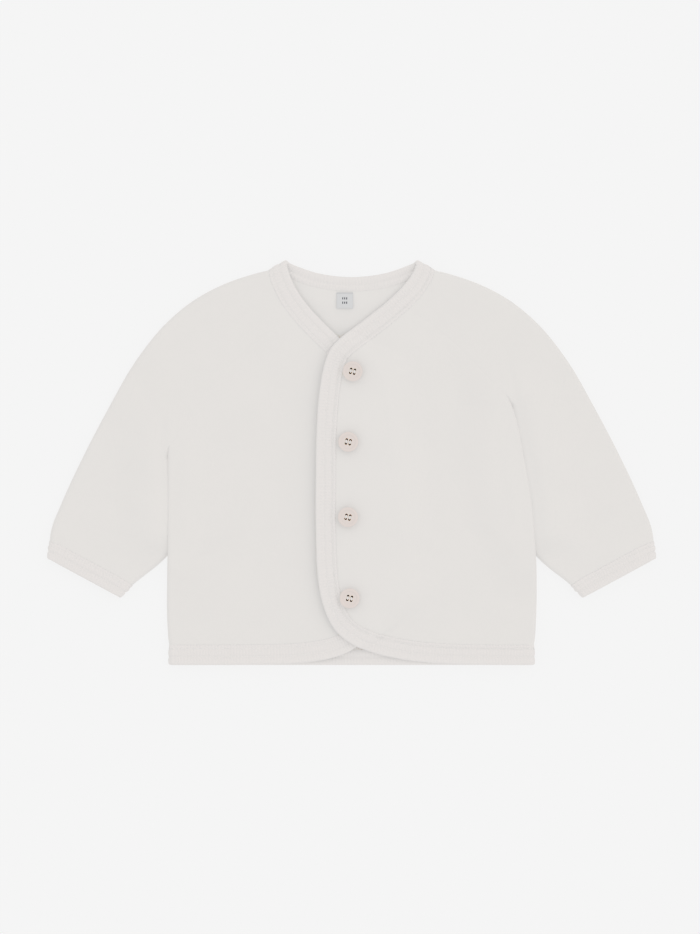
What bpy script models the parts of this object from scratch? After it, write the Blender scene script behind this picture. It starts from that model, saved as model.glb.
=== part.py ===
"""A baby's fleece jacket with raglan sleeves, laid flat on its back with the front up.

Every cloth piece is a wall of even thickness round a middle surface. Its plan comes from
the cut's outlines, and its height from how the layers lie: the back on the table, the
sleeves beside it with their underarms tucked below the body, the wearer's right front on
the back, and the left front lapped over the right. X runs across to the wearer's left, Y
up to the neck and Z up from the table. Tables and sizes are in millimetres.
"""

import math

import bpy
import numpy as np

MM = 0.001
RIGHT, LEFT = -1, 1  # the wearer's sides, which are also the signs of x

# Cloth
FLEECE = 1.6  # wall of the brushed fleece
RIB = 1.0  # wall of the ribbed binding
SEAM = 0.3  # gap between neighbouring pieces
LOFT = 5.0  # middle of a lower layer to the middle of the layer folded over it
LAP = 4.7  # how far the left front is carried up by the right one
LAP_START = 8.0  # past the right front's edge the left front stays up this far
LAP_RUN = 28.0  # distance in which it then comes down

# Binding: it is folded over the edge, wide outside and narrow inside
TURN = 1.5  # reach of its fold past the fleece edge
OUTSIDE = 12.5  # from the fleece edge to its stitched edge, on the face
INSIDE = 8.5  # and on the wrong side
HEM_INSIDE = 12.5  # on the back hem, where the wrong side shows between the fronts
CLEAR = 13.5  # first line of the fleece past the binding
SHELL = FLEECE / 2 + SEAM  # middle of the fleece to the near face of the binding
LIFT_RUN = 14.0  # distance in which the fleece comes down from a binding on the table

# Sleeve tucked below the body
TUCK_LOFT = 2.4
TUCK_HEIGHT = FLEECE + TUCK_LOFT + 0.7
TUCK_RUN = 14.0
TUCK_INSET = 9.0  # from the sleeve's fold to where the body starts to come down
TUCK_PAST = 28.0  # below the place where the sleeve's fold comes out, no lift is left
TUCK_FADE = 24.0  # and above that it grows in this length
TUCK_SIDE = 8.0  # outside the body's fold, the lift is gone in this length
CREASE = 40.0  # reach of the tuck's crease above the underarm point
DIVE = 7.0  # the sleeve goes below the body in this length
PRESSED = (8.0, 22.0)  # beside the body, the sleeve is flat up to here and full from here

# Buttons and label
BUTTON_RADIUS = 7.0
BUTTON_HEIGHT = 2.8
BUTTON_RIM = 1.5
BUTTON_DISH = 0.7
THREAD_RADIUS = 2.3
THREAD_HEIGHT = 1.4
HOLE_RADIUS = 0.8
HOLE_SPACING = 2.6
HOLE_TURN = math.radians(12)
LABEL_SIZE = (11.4, 11.2)
LABEL_CENTRE = (-4.8, 113.5)
LABEL_WALL = 0.5

# Outlines: x out from the centre front (mirrored for the other side), y up the garment
SHOULDER_FOLD = (
    (46.3, 138.6), (57.0, 133.9), (67.4, 131.6), (90.4, 123.7), (109.4, 113.3), (129.6, 96.6),
    (149.8, 71.5), (169.3, 37.9), (186.8, 4.4), (202.4, -29.2), (209.0, -46.0), (211.3, -66.0),
)
BACK_NECK = (
    (-45.9, 141.1), (-38.5, 137.8), (-27.3, 133.6), (-13.0, 130.8), (0.0, 129.9),
    (13.0, 130.8), (27.3, 133.6), (38.5, 137.8), (45.9, 141.1),
)
HEM_Y = -141.4
SIDE_X = 128.0
MIDDLE_Y = -0.345  # of the finished outline, moved to the origin
CUFF_END = ((211.3, -66.0), (162.0, -92.6))  # fleece edge, from the outer fold to the underarm

# Outlines that differ from side to side: x is signed
FRONT_EDGE = {
    LEFT: (
        (45.9, 141.1), (43.6, 134.6), (39.2, 127.6), (34.4, 122.0), (23.5, 111.8), (11.5, 102.2),
        (0.7, 94.0), (-8.0, 87.2), (-14.6, 80.0), (-18.4, 71.0), (-21.8, 55.5), (-24.2, 30.0),
        (-25.1, -10.0), (-24.9, -55.0), (-23.2, -84.0), (-19.2, -102.0), (-12.0, -116.5),
        (-1.0, -126.2), (13.0, -132.2), (32.0, -137.0), (60.0, -140.2), (95.0, -141.3),
        (128.0, -141.4),
    ),
    RIGHT: (
        (-45.9, 141.1), (-44.4, 135.0), (-41.3, 126.8), (-37.6, 119.8), (-28.3, 107.4),
        (-15.4, 94.0), (-6.0, 84.8), (3.0, 75.0), (10.0, 62.0), (15.0, 42.0), (19.5, 10.0),
        (23.0, -30.0), (25.0, -70.0), (23.5, -95.0), (16.5, -115.0), (5.0, -128.0),
        (-8.0, -134.8), (-28.0, -139.2), (-60.0, -141.0), (-95.0, -141.4), (-128.0, -141.4),
    ),
}
CORNER = {LEFT: (-12.0, -116.5), RIGHT: (16.5, -115.0)}  # middle of each rounded lower corner
RAGLAN = {
    LEFT: ((29.0, 116.5), (45.5, 104.1), (69.3, 85.9), (95.2, 59.6), (109.6, 45.0)),
    RIGHT: ((-32.0, 112.2), (-42.0, 104.1), (-64.7, 85.9), (-90.3, 62.8), (-116.2, 28.0), (-128.0, 10.0)),
}
BACK_RAGLAN = {
    LEFT: ((32.0, 135.0), (50.0, 117.0), (72.0, 91.0), (92.0, 66.0), (109.6, 45.0)),
    RIGHT: ((-32.0, 135.0), (-50.0, 117.0), (-75.0, 90.0), (-100.0, 58.0), (-119.0, 27.0), (-128.0, 10.0)),
}
SIDE_FOLD = {
    LEFT: ((109.6, 45.0), (114.4, 32.0), (120.6, 3.0), (126.0, -30.0), (128.0, -60.0), (128.0, -139.9)),
    RIGHT: ((-128.0, 10.0), (-128.0, -30.0), (-128.0, -60.0), (-128.0, -139.9)),
}
CREASE_LINE = {LEFT: (102.0, 85.0), RIGHT: (-128.0, 50.0)}  # the side fold's line goes on to here
UNDERARM_FOLD = {
    LEFT: (
        (112.2, 46.0), (114.8, 39.0), (114.2, 27.0), (110.5, 10.0), (110.0, -15.0),
        (114.0, -42.0), (131.6, -66.6), (154.8, -85.8), (162.0, -92.6),
    ),
    RIGHT: (
        (-130.4, 10.6), (-130.4, 3.0), (-126.0, -6.0), (-118.5, -20.0), (-116.0, -36.0),
        (-119.0, -52.0), (-131.6, -66.6), (-154.8, -85.8), (-162.0, -92.6),
    ),
}
CROTCH_Y = -66.6
ARMPIT_ON_SHOULDER = {LEFT: (151.0, 69.8), RIGHT: (-171.5, 34.0)}  # far end of the ring at the armpit

BUTTONS = ((0.7, 63.9), (-2.4, 14.6), (-2.6, -38.0), (-1.4, -94.7))

# Fineness
FOLD_ANGLES = (0.0, 40.0, 90.0)  # from the fold's edge up to the flat
SEAM_STEPS = 6  # along a raglan seam, past the binding
OPENING_STEPS = 17  # down a front edge
ACROSS_SLEEVE = (0.0, 0.25, 0.5, 0.7, 0.85, 1.0)  # shares, from the outer fold to the seam
DOWN_SLEEVE = (0.0, 0.03, 0.06, 0.15, 0.28, 0.42, 0.56, 0.7, 0.85, 1.0)  # underarm point to cuff
CUFF_CLEAR = 12.5
CUFF_OUTSIDE = 11.0
ACROSS_BACK = (0.0, 0.065, 0.13, 0.24, 0.37, 0.5, 0.63, 0.76, 0.87, 0.935, 1.0)  # shares
TURN_ANGLES = (60.0, 120.0)  # round the fold of a binding
CORNER_STEPS = (7.0, 17.0)  # the lines nearest to a rounded corner
CHORDS = 24

COLOURS = {
    "fleece": (0.775, 0.745, 0.710, 0.95),
    "rib": (0.800, 0.770, 0.735, 0.9),
    "button": (0.730, 0.650, 0.600, 0.45),
    "label": (0.640, 0.650, 0.665, 0.7),
}


class Line:
    """A smooth plan line through points, read by its length. hand is the side its cloth is on."""

    def __init__(self, points, hand):
        given = np.array(points, float)
        knots = np.append(0, np.cumsum(np.linalg.norm(np.diff(given, axis=0), axis=1)))
        slopes = np.gradient(given, knots, axis=0)
        pieces = []
        for i in range(len(given) - 1):
            width = knots[i + 1] - knots[i]
            t = np.linspace(0, 1, CHORDS, endpoint=False)[:, None]
            pieces.append(
                (2 * t**3 - 3 * t**2 + 1) * given[i]
                + (t**3 - 2 * t**2 + t) * width * slopes[i]
                + (3 * t**2 - 2 * t**3) * given[i + 1]
                + (t**3 - t**2) * width * slopes[i + 1]
            )
        self.points = np.concatenate([*pieces, given[-1:]])
        self.hand = hand
        steps = np.linalg.norm(np.diff(self.points, axis=0), axis=1)
        self.marks = np.append(0, np.cumsum(steps))
        self.length = self.marks[-1]

    def at(self, s):
        return np.stack([np.interp(s, self.marks, self.points[:, k]) for k in (0, 1)], axis=-1)

    def inward(self, s):
        """Unit normal into the cloth."""
        s = np.asarray(s, float)
        ahead = self.at(np.minimum(s + 1, self.length)) - self.at(np.maximum(s - 1, 0))
        normal = np.stack([-ahead[..., 1], ahead[..., 0]], axis=-1) * self.hand
        return normal / np.linalg.norm(normal, axis=-1, keepdims=True)

    def moved(self, distance):
        """The line moved into the cloth, as a line of its own."""
        marks = self.marks[:: CHORDS // 2]
        return Line(self.at(marks) + distance * self.inward(marks), self.hand)

    def nearest(self, q):
        """Length mark nearest to one point."""
        return self.marks[np.argmin(np.linalg.norm(self.points - np.array(q), axis=1))]

    def distance(self, q):
        flat = np.reshape(q, (-1, 2))
        found = [np.hypot(*(self.points - p).T).min() for p in flat]
        return np.reshape(found, np.shape(q)[:-1])


def ramp(x):
    """0 below 0 and 1 above 1, with no corner."""
    x = np.clip(x, 0, 1)
    return x * x * (3 - 2 * x)


def unit(v):
    return v / np.linalg.norm(v, axis=-1, keepdims=True)


def x_at(table, y):
    """x of a line that falls in y, as in the tables."""
    rows = sorted((b, a) for a, b in table)
    return np.interp(y, [r[0] for r in rows], [r[1] for r in rows])


def mirrored(points, side):
    return [(side * x, y) for x, y in points]


def from_edge(points, edge):
    """A raglan seam's points, the first one brought onto the fleece edge it starts from."""
    return [tuple(edge.at(edge.nearest(points[0]))), *points[1:]]


class Cut:
    """The plan lines that the pieces share."""

    def __init__(self):
        self.edge, self.shoulder, self.side, self.under = {}, {}, {}, {}
        self.raglan, self.back_raglan, self.cuff = {}, {}, {}
        for side in (RIGHT, LEFT):
            self.edge[side] = Line(FRONT_EDGE[side], side).moved(TURN)
            self.shoulder[side] = Line(mirrored(SHOULDER_FOLD, side), -side)
            self.side[side] = Line(SIDE_FOLD[side], -side)
            self.under[side] = Line(UNDERARM_FOLD[side], side)
            self.cuff[side] = Line(mirrored(CUFF_END, side), -side)
        self.neck = Line(BACK_NECK, -1).moved(TURN)
        for side in (RIGHT, LEFT):
            self.raglan[side] = from_edge(RAGLAN[side], self.edge[side])
            self.back_raglan[side] = from_edge(BACK_RAGLAN[side], self.neck)
        self.hem = Line(((-SIDE_X, HEM_Y), (0, HEM_Y), (SIDE_X, HEM_Y)), 1).moved(TURN)


CUT = Cut()


def binding_lift(q):
    """Height that a binding below the lower layer gives it."""
    near = np.minimum(CUT.neck.distance(q), q[..., 1] - HEM_Y - TURN)
    for side in (RIGHT, LEFT):
        near = np.minimum(near, CUT.cuff[side].distance(q))
    return (RIB + SEAM) * (1 - ramp((near - CLEAR - 0.5) / LIFT_RUN))


def inside_fold(q, side):
    """Distance into the body from the side fold's line, drawn on upwards."""
    table = (*SIDE_FOLD[side], CREASE_LINE[side])
    return side * (x_at(table, q[..., 1]) - q[..., 0])


def armpit_y(side):
    return SIDE_FOLD[side][0][1]


def tuck_lift(q, sleeve):
    """Height that the tucked sleeves give the body, and the body's crease gives the sleeve."""
    total = np.zeros(q.shape[:-1])
    for side in (RIGHT, LEFT):
        x, y, top = side * q[..., 0], q[..., 1], armpit_y(side)
        tucked = [(a, b) for a, b in UNDERARM_FOLD[side] if b >= CROTCH_Y]
        reach = side * x_at(tucked, y)
        share = 1 - ramp((reach - TUCK_INSET - x) / TUCK_RUN)
        share = share * ramp((y - CROTCH_Y + TUCK_PAST) / TUCK_FADE) * (1 - ramp((y - top) / CREASE))
        share = share * ramp(inside_fold(q, side) / TUCK_SIDE + 1)
        if sleeve:
            share = share * ramp((y - top + DIVE) / DIVE)
        total = total + TUCK_HEIGHT * share
    return total


def loft(q, sleeve):
    """Middle of the lower layer to the middle of the upper one."""
    if not sleeve:
        return np.full(q.shape[:-1], LOFT)
    pressed = np.zeros(q.shape[:-1])
    for side in (RIGHT, LEFT):
        below = ramp((armpit_y(side) - q[..., 1]) / DIVE)
        beside = ramp((inside_fold(q, side) + PRESSED[1]) / (PRESSED[1] - PRESSED[0]))
        pressed = pressed + beside * below * (side * q[..., 0] > 0)
    return LOFT - (LOFT - TUCK_LOFT) * np.clip(pressed, 0, 1)


def lap(q):
    """Height of the left front over the right one."""
    past = q[..., 0] - x_at(FRONT_EDGE[RIGHT], q[..., 1])
    return LAP * (1 - ramp((past - LAP_START) / LAP_RUN))


def level(q, layer, sign):
    """Height of a layer's middle where it lies flat. sign is 1 above and -1 below."""
    sleeve = layer == "sleeve"
    z = FLEECE / 2 + binding_lift(q) + tuck_lift(q, sleeve) + loft(q, sleeve) * (1 + sign) / 2
    return z + lap(q) if layer == "left front" else z


def place(q, layer, sign, turned=None, out=None):
    """Points of a layer's middle surface and its normals.

    turned is the angle round the fold at the cloth's edge, 90 degrees where it lies flat,
    and out points away from the cloth there.
    """
    sign = np.broadcast_to(sign, q.shape[:-1])
    turned = np.full(q.shape[:-1], 90.0) if turned is None else turned
    out = np.zeros(q.shape) if out is None else out
    step = 0.5
    slope = []
    for k in (0, 1):
        move = np.eye(2)[k] * step
        slope.append((level(q - move, layer, sign) - level(q + move, layer, sign)) / (2 * step))
    up = np.stack([*slope, np.ones(q.shape[:-1])], axis=-1)
    half = loft(q, layer == "sleeve") / 2
    angle = np.radians(turned)
    z = level(q, layer, sign) - sign * half
    z = z + sign * np.maximum(half * np.sin(angle), SEAM / 2)
    side = np.concatenate([out, np.zeros((*out.shape[:-1], 1))], axis=-1)
    normal = side * np.cos(angle)[..., None] + up * (sign * np.sin(angle))[..., None]
    normal /= np.linalg.norm(normal, axis=-1, keepdims=True)
    return np.concatenate([q, z[..., None]], axis=-1), normal


def fills(top, bottom, left, right):
    """A grid that blends four edges. top and bottom run as its columns, left and right as its rows."""

    def share(line):
        steps = np.append(0, np.cumsum(np.linalg.norm(np.diff(line, axis=0), axis=1)))
        return steps / steps[-1]

    v = ((share(left) + share(right)) / 2)[:, None]
    u = (1 - v) * share(top)[None, :] + v * share(bottom)[None, :]
    u, v = u[..., None], v[..., None]
    corners = (1 - v) * ((1 - u) * top[0] + u * top[-1]) + v * ((1 - u) * bottom[0] + u * bottom[-1])
    return (1 - v) * top + v * bottom + (1 - u) * left[:, None] + u * right[:, None] - corners


def fold_band(line, s, layer, flip=False):
    """Plan points beside a fold line at FOLD_ANGLES, with their angles and outward normals."""
    on_fold, inward = line.at(s), line.inward(s)
    reach = loft(on_fold, layer == "sleeve") / 2
    angles = np.array(FOLD_ANGLES[::-1] if flip else FOLD_ANGLES)
    depth = reach[:, None] * (1 - np.cos(np.radians(angles)))
    q = on_fold[:, None] + depth[..., None] * inward[:, None]
    turned = np.broadcast_to(angles, q.shape[:-1]).copy()
    return q, turned, np.broadcast_to(-inward[:, None], q.shape).copy()


def seam_stops(line):
    """Marks along a raglan seam: the binding's line, even steps, and the start of the side's fold."""
    end = line.length - LOFT / 2
    return np.concatenate([[0, CLEAR], np.linspace(CLEAR, end, SEAM_STEPS + 1)[1:]])


def opening_marks(side):
    """Marks down the front edge from the raglan seam to the lower corner, and on along the hem."""
    edge = CUT.edge[side]
    start, corner = edge.nearest(RAGLAN[side][0]), edge.nearest(CORNER[side])
    end = edge.length - LOFT / 2
    down = np.linspace(start, corner - CORNER_STEPS[1], OPENING_STEPS - 1)
    down = np.append(down, corner - CORNER_STEPS[0])
    along = np.linspace(corner + CORNER_STEPS[0], end, SEAM_STEPS + 1)
    return down, corner, along


def front_panel(side):
    """Grid of one front: columns from the opening to the side, rows from the raglan seam to the hem."""
    edge, fold = CUT.edge[side], CUT.side[side]
    down, corner, along = opening_marks(side)
    seam = Line(CUT.raglan[side], -side).moved(SEAM / 2)
    stops = seam_stops(seam)
    low = fold.length - CLEAR
    side_marks = np.append(np.linspace(0, low, OPENING_STEPS), fold.length)
    folded, turned, out = fold_band(fold, side_marks, "body", flip=True)
    rows, columns = OPENING_STEPS + 1, SEAM_STEPS + 1
    inner = edge.at(down) + CLEAR * edge.inward(down)
    inner[-1] = edge.at(corner) + CLEAR * edge.inward(corner)
    inner_hem = edge.at(along) + CLEAR * edge.inward(along)
    inner_hem[0] = inner[-1]
    inner_hem[-1] = folded[-2, 0]
    top = seam.at(stops[1:])
    inner[0] = top[0]
    right = folded[:-1, 0].copy()
    right[0] = top[-1]
    grid = np.zeros((rows, 1 + columns + len(FOLD_ANGLES) - 1, 2))
    grid[:-1, 0] = edge.at(down)
    grid[0, 0] = seam.at(0)
    grid[-1, 0] = edge.at(corner)
    grid[:-1, 1 : columns + 1] = fills(top, inner_hem, inner, right)
    grid[-1, 1 : columns + 1] = edge.at(along)
    grid[:, columns + 1 :] = folded[:, 1:]
    angle = np.full(grid.shape[:2], 90.0)
    angle[:, columns + 1 :] = turned[:, 1:]
    away = np.zeros(grid.shape)
    away[:, columns + 1 :] = out[:, 1:]
    return place(grid, "left front" if side == LEFT else "body", 1, angle, away)


def back_side(side):
    """Plan points, angles and normals down one side of the back: its raglan seam, then the side fold."""
    seam = Line(CUT.back_raglan[side], -side).moved(SEAM / 2)
    stops = seam_stops(seam)
    fold = CUT.side[side]
    low = fold.length - CLEAR
    marks = np.append(np.linspace(0, low, OPENING_STEPS), fold.length)
    q, turned, out = fold_band(fold, marks, "body")
    on_seam, inward = seam.at(stops), seam.inward(stops)
    depth = LOFT / 2 * (1 - np.cos(np.radians(FOLD_ANGLES)))
    along = on_seam[:, None] + depth[None, :, None] * np.array([-side, 0.0])
    flat = np.full(along.shape[:-1], 90.0)
    still = np.zeros(along.shape)
    return tuple(np.concatenate(pair) for pair in ((along, q), (flat, turned), (still, out)))


def back_panel():
    """Grid of the back: columns from the right side to the left, rows from the neck to the hem."""
    right, right_turn, right_out = back_side(RIGHT)
    left, left_turn, left_out = back_side(LEFT)
    start, end = CUT.neck.nearest(right[0, 0]), CUT.neck.nearest(left[0, 0])
    across = np.array(ACROSS_BACK)
    neck_marks = start + LOFT / 2 + across * (end - start - LOFT)
    hem_marks = LOFT / 2 + across * (CUT.hem.length - LOFT)
    neck, neck_in = CUT.neck.at(neck_marks), CUT.neck.inward(neck_marks)
    hem = CUT.hem.at(hem_marks)
    folds = len(FOLD_ANGLES)
    rows = len(right)
    grid = np.zeros((rows, 2 * (folds - 1) + len(across), 2))
    angle = np.full(grid.shape[:2], 90.0)
    away = np.zeros(grid.shape)
    grid[:, : folds - 1], grid[:, -folds + 1 :] = right[:, :-1], left[:, -2::-1]
    angle[:, : folds - 1], angle[:, -folds + 1 :] = right_turn[:, :-1], left_turn[:, -2::-1]
    away[:, : folds - 1], away[:, -folds + 1 :] = right_out[:, :-1], left_out[:, -2::-1]
    middle = slice(folds - 1, folds - 1 + len(across))
    top = neck + CLEAR * neck_in
    top[0], top[-1] = right[1, -1], left[1, -1]
    bottom = hem + np.array([0, CLEAR])
    bottom[0], bottom[-1] = right[-2, -1], left[-2, -1]
    grid[1:-1, middle] = fills(top, bottom, right[1:-1, -1], left[1:-1, -1])
    grid[0, middle] = neck
    grid[-1, middle] = hem
    # the neck edge of the outer columns follows the neckline too
    for c, mark in enumerate(start + np.array([0.0, LOFT / 4])[: folds - 1]):
        grid[0, c] = CUT.neck.at(mark)
        grid[0, -1 - c] = CUT.neck.at(end - (mark - start))
    return place(grid, "body", -1, angle, away)


def sleeve_half(side, sign):
    """Grid of the upper or the lower half of a sleeve, from its outer fold to its seam and underarm."""
    seam_table = CUT.raglan[side] if sign > 0 else CUT.back_raglan[side]
    seam = Line(seam_table, side).moved(SEAM / 2)
    outer, under = CUT.shoulder[side], CUT.under[side]
    stops = seam_stops(seam)
    ring = outer.nearest(ARMPIT_ON_SHOULDER[side])
    upper = np.concatenate([[0, CLEAR], np.linspace(CLEAR, ring, SEAM_STEPS + 2)[1:-1]])
    shares = np.array(DOWN_SLEEVE)
    lower = np.append(ring + shares * (outer.length - CUFF_CLEAR - ring), outer.length)
    below = np.append(shares * (under.length - CUFF_CLEAR), under.length)
    far, far_turn, far_out = fold_band(outer, np.append(upper, lower), "sleeve")
    near, near_turn, near_out = fold_band(under, below, "sleeve", flip=True)
    depth = LOFT / 2 * (1 - np.cos(np.radians(FOLD_ANGLES[::-1])))
    on_seam = seam.at(stops)
    seam_in = seam.inward(stops)
    along = on_seam[:, None] + depth[None, :, None] * seam_in[:, None]
    near = np.concatenate([along, near])
    near_turn = np.concatenate([np.full(along.shape[:-1], 90.0), near_turn])
    near_out = np.concatenate([np.zeros(along.shape), near_out])
    rows = len(near)
    # the neck end follows the neckline, and the row past it keeps the binding's width
    neck = CUT.edge[side] if sign > 0 else CUT.neck
    tip, root = neck.nearest(outer.at(0)), neck.nearest(on_seam[0])
    inset = LOFT / 2 * np.sign(root - tip)
    across = np.array(ACROSS_SLEEVE)
    marks = tip + inset + across * (root - tip - 2 * inset)
    top = neck.at(marks)
    along_fold, along_seam = unit(far[1, -1] - far[0, -1]), unit(near[1, 0] - near[0, 0])
    second = top + CLEAR * unit(along_fold + across[:, None] * (along_seam - along_fold))
    second[0], second[-1] = far[1, -1], near[1, 0]
    cuff = CUT.cuff[side]
    cuff_marks = LOFT / 2 + across * (cuff.length - LOFT)
    end = cuff.at(cuff_marks)
    before = end + CUFF_CLEAR * cuff.inward(cuff_marks)
    before[0], before[-1] = far[-2, -1], near[-2, 0]
    folds = len(FOLD_ANGLES)
    grid = np.zeros((rows, 2 * (folds - 1) + len(across), 2))
    angle = np.full(grid.shape[:2], 90.0)
    away = np.zeros(grid.shape)
    grid[:, : folds - 1], grid[:, -folds + 1 :] = far[:, :-1], near[:, 1:]
    angle[:, : folds - 1], angle[:, -folds + 1 :] = far_turn[:, :-1], near_turn[:, 1:]
    away[:, : folds - 1], away[:, -folds + 1 :] = far_out[:, :-1], near_out[:, 1:]
    middle = slice(folds - 1, folds - 1 + len(across))
    grid[1:-1, middle] = fills(second, before, far[1:-1, -1], near[1:-1, 0])
    grid[0, middle] = top
    grid[-1, middle] = end
    return place(grid, "sleeve", sign, angle, away), len(stops)


def sleeve(side):
    """A whole sleeve, from the front seam over the outer fold to the back seam, and its closed row."""
    (front, front_up), closed = sleeve_half(side, 1)
    (back, back_up), _ = sleeve_half(side, -1)
    joined = np.concatenate([front[:, ::-1], back[:, 1:]], axis=1)
    return joined, np.concatenate([front_up[:, ::-1], back_up[:, 1:]], axis=1), closed


def strip(piece, edge, second):
    """Points and normals along an edge of a piece, and along the next line inside it."""
    return tuple(grid[index] for index in (edge, second) for grid in piece)


def joined_strips(*strips):
    """Strips end to end. Where two meet at a seam, one station stands for both ends."""
    rows = []
    for lines in zip(*strips):
        whole = lines[0]
        for line in lines[1:]:
            whole = np.concatenate([whole[:-1], (whole[-1:] + line[:1]) / 2, line[1:]])
        rows.append(whole)
    return rows


def bound(rim, rim_up, second, second_up, outside=OUTSIDE, inside=INSIDE, reach=CLEAR):
    """Outer and inner faces of a binding folded over an edge strip."""
    wide, wide_up = (a + (b - a) * outside / reach for a, b in ((rim, second), (rim_up, second_up)))
    narrow, narrow_up = (a + (b - a) * inside / reach for a, b in ((rim, second), (rim_up, second_up)))
    rim_up, wide_up, narrow_up = unit(rim_up), unit(wide_up), unit(narrow_up)
    away = rim - second
    away = unit(away - rim_up * np.sum(away * rim_up, axis=-1, keepdims=True))
    faces = []
    for thick, turn in ((SHELL + RIB, TURN), (SHELL, TURN - RIB)):
        chain = [wide + wide_up * thick, rim + rim_up * thick]
        for degrees in TURN_ANGLES:
            swing = math.radians(degrees)
            chain.append(rim + rim_up * thick * math.cos(swing) + away * turn * math.sin(swing))
        chain += [rim - rim_up * thick, narrow - narrow_up * thick]
        faces.append(np.stack(chain, axis=1))
    return faces


def front_binding(side):
    """From the fold at the neck's tip, down the front edge and along the hem to the side's fold."""
    piece = front_panel(side)
    down = strip(piece, np.s_[:-1, 0], np.s_[:-1, 1])
    corner = strip(piece, np.s_[-1:, 0], np.s_[-2:-1, 1])
    along = strip(piece, np.s_[-1, 1:], np.s_[-2, 1:])
    front = [np.concatenate(lines) for lines in zip(down, corner, along)]
    neck = strip(sleeve_half(side, 1)[0], 0, 1)
    return bound(*joined_strips(neck, front))


def neck_binding():
    """Along the back neck, between the folds at the neck's tips."""
    right, left = (strip(sleeve_half(side, -1)[0], 0, 1) for side in (RIGHT, LEFT))
    back = strip(back_panel(), 0, 1)
    return bound(*joined_strips(right, back, [line[::-1] for line in left]))


def hem_binding():
    """Along the back's hem, between the side folds."""
    return bound(*strip(back_panel(), -1, -2), inside=HEM_INSIDE)


def cuff_binding(side):
    """Round the end of a sleeve."""
    points, normals, _ = sleeve(side)
    ring = strip((points, normals), np.s_[-1, :-1], np.s_[-2, :-1])
    return bound(*ring, outside=CUFF_OUTSIDE, reach=CUFF_CLEAR)


def label_grid():
    """The label on the inside of the back."""
    x = LABEL_CENTRE[0] + np.linspace(-0.5, 0.5, 3) * LABEL_SIZE[0]
    y = LABEL_CENTRE[1] + np.linspace(0.5, -0.5, 4) * LABEL_SIZE[1]
    q = np.stack(np.meshgrid(x, y), axis=-1)
    points, down = place(q, "body", -1)
    low = points - down * (FLEECE / 2 + SEAM)
    return low - down * LABEL_WALL, low


def material(name):
    red, green, blue, rough = COLOURS[name]
    made = bpy.data.materials.new(name)
    made.use_nodes = True
    shader = made.node_tree.nodes["Principled BSDF"]
    shader.inputs["Base Color"].default_value = (red, green, blue, 1)
    shader.inputs["Roughness"].default_value = rough
    shader.inputs["Metallic"].default_value = 0
    return made


def add_object(name, points, faces, finish):
    mesh = bpy.data.meshes.new(name)
    placed = (np.asarray(points) - (0, MIDDLE_Y, 0)) * MM
    mesh.from_pydata(placed.tolist(), [], faces)
    mesh.validate()
    mesh.materials.append(finish)
    made = bpy.data.objects.new(name, mesh)
    bpy.context.scene.collection.objects.link(made)
    return made


def wall(name, outer, inner, finish, closed_from=None, ring=False):
    """A closed solid between two grids of the same shape.

    From row closed_from the last column is the first one again, as round a sleeve. ring
    joins the last row to the first.
    """
    rows, columns = outer.shape[:2]
    ids = np.arange(rows * columns).reshape(rows, columns)
    if closed_from is not None:
        ids[closed_from:, -1] = ids[closed_from:, 0]
    if ring:
        ids = np.concatenate([ids, ids[:1]])
    shift = rows * columns
    faces = []
    for r in range(len(ids) - 1):
        for c in range(columns - 1):
            a, b, d, e = ids[r, c], ids[r, c + 1], ids[r + 1, c + 1], ids[r + 1, c]
            faces.append((a, b, d, e))
            faces.append((e + shift, d + shift, b + shift, a + shift))
    rims = []
    if not ring:
        rims += [(ids[0, c + 1], ids[0, c]) for c in range(columns - 1)]
        rims += [(ids[-1, c], ids[-1, c + 1]) for c in range(columns - 1)]
    open_rows = len(ids) - 1 if closed_from is None else closed_from
    rims += [(ids[r, 0], ids[r + 1, 0]) for r in range(open_rows)]
    rims += [(ids[r + 1, -1], ids[r, -1]) for r in range(open_rows)]
    faces += [(a, b, b + shift, a + shift) for a, b in rims]
    points = np.concatenate([outer.reshape(-1, 3), inner.reshape(-1, 3)])
    used = np.unique([i for face in faces for i in face])
    renumber = {int(old): new for new, old in enumerate(used)}
    faces = [tuple(dict.fromkeys(renumber[int(i)] for i in face)) for face in faces]
    volume = sum(
        np.linalg.det(points[used][[f[0], f[i], f[i + 1]]]) for f in faces for i in range(1, len(f) - 1)
    )
    if volume < 0:
        faces = [face[::-1] for face in faces]
    return add_object(name, points[used], faces, finish)


def cloth(name, middle, normal, finish, **kwargs):
    half = FLEECE / 2
    return wall(name, middle + normal * half, middle - normal * half, finish, **kwargs)


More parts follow.
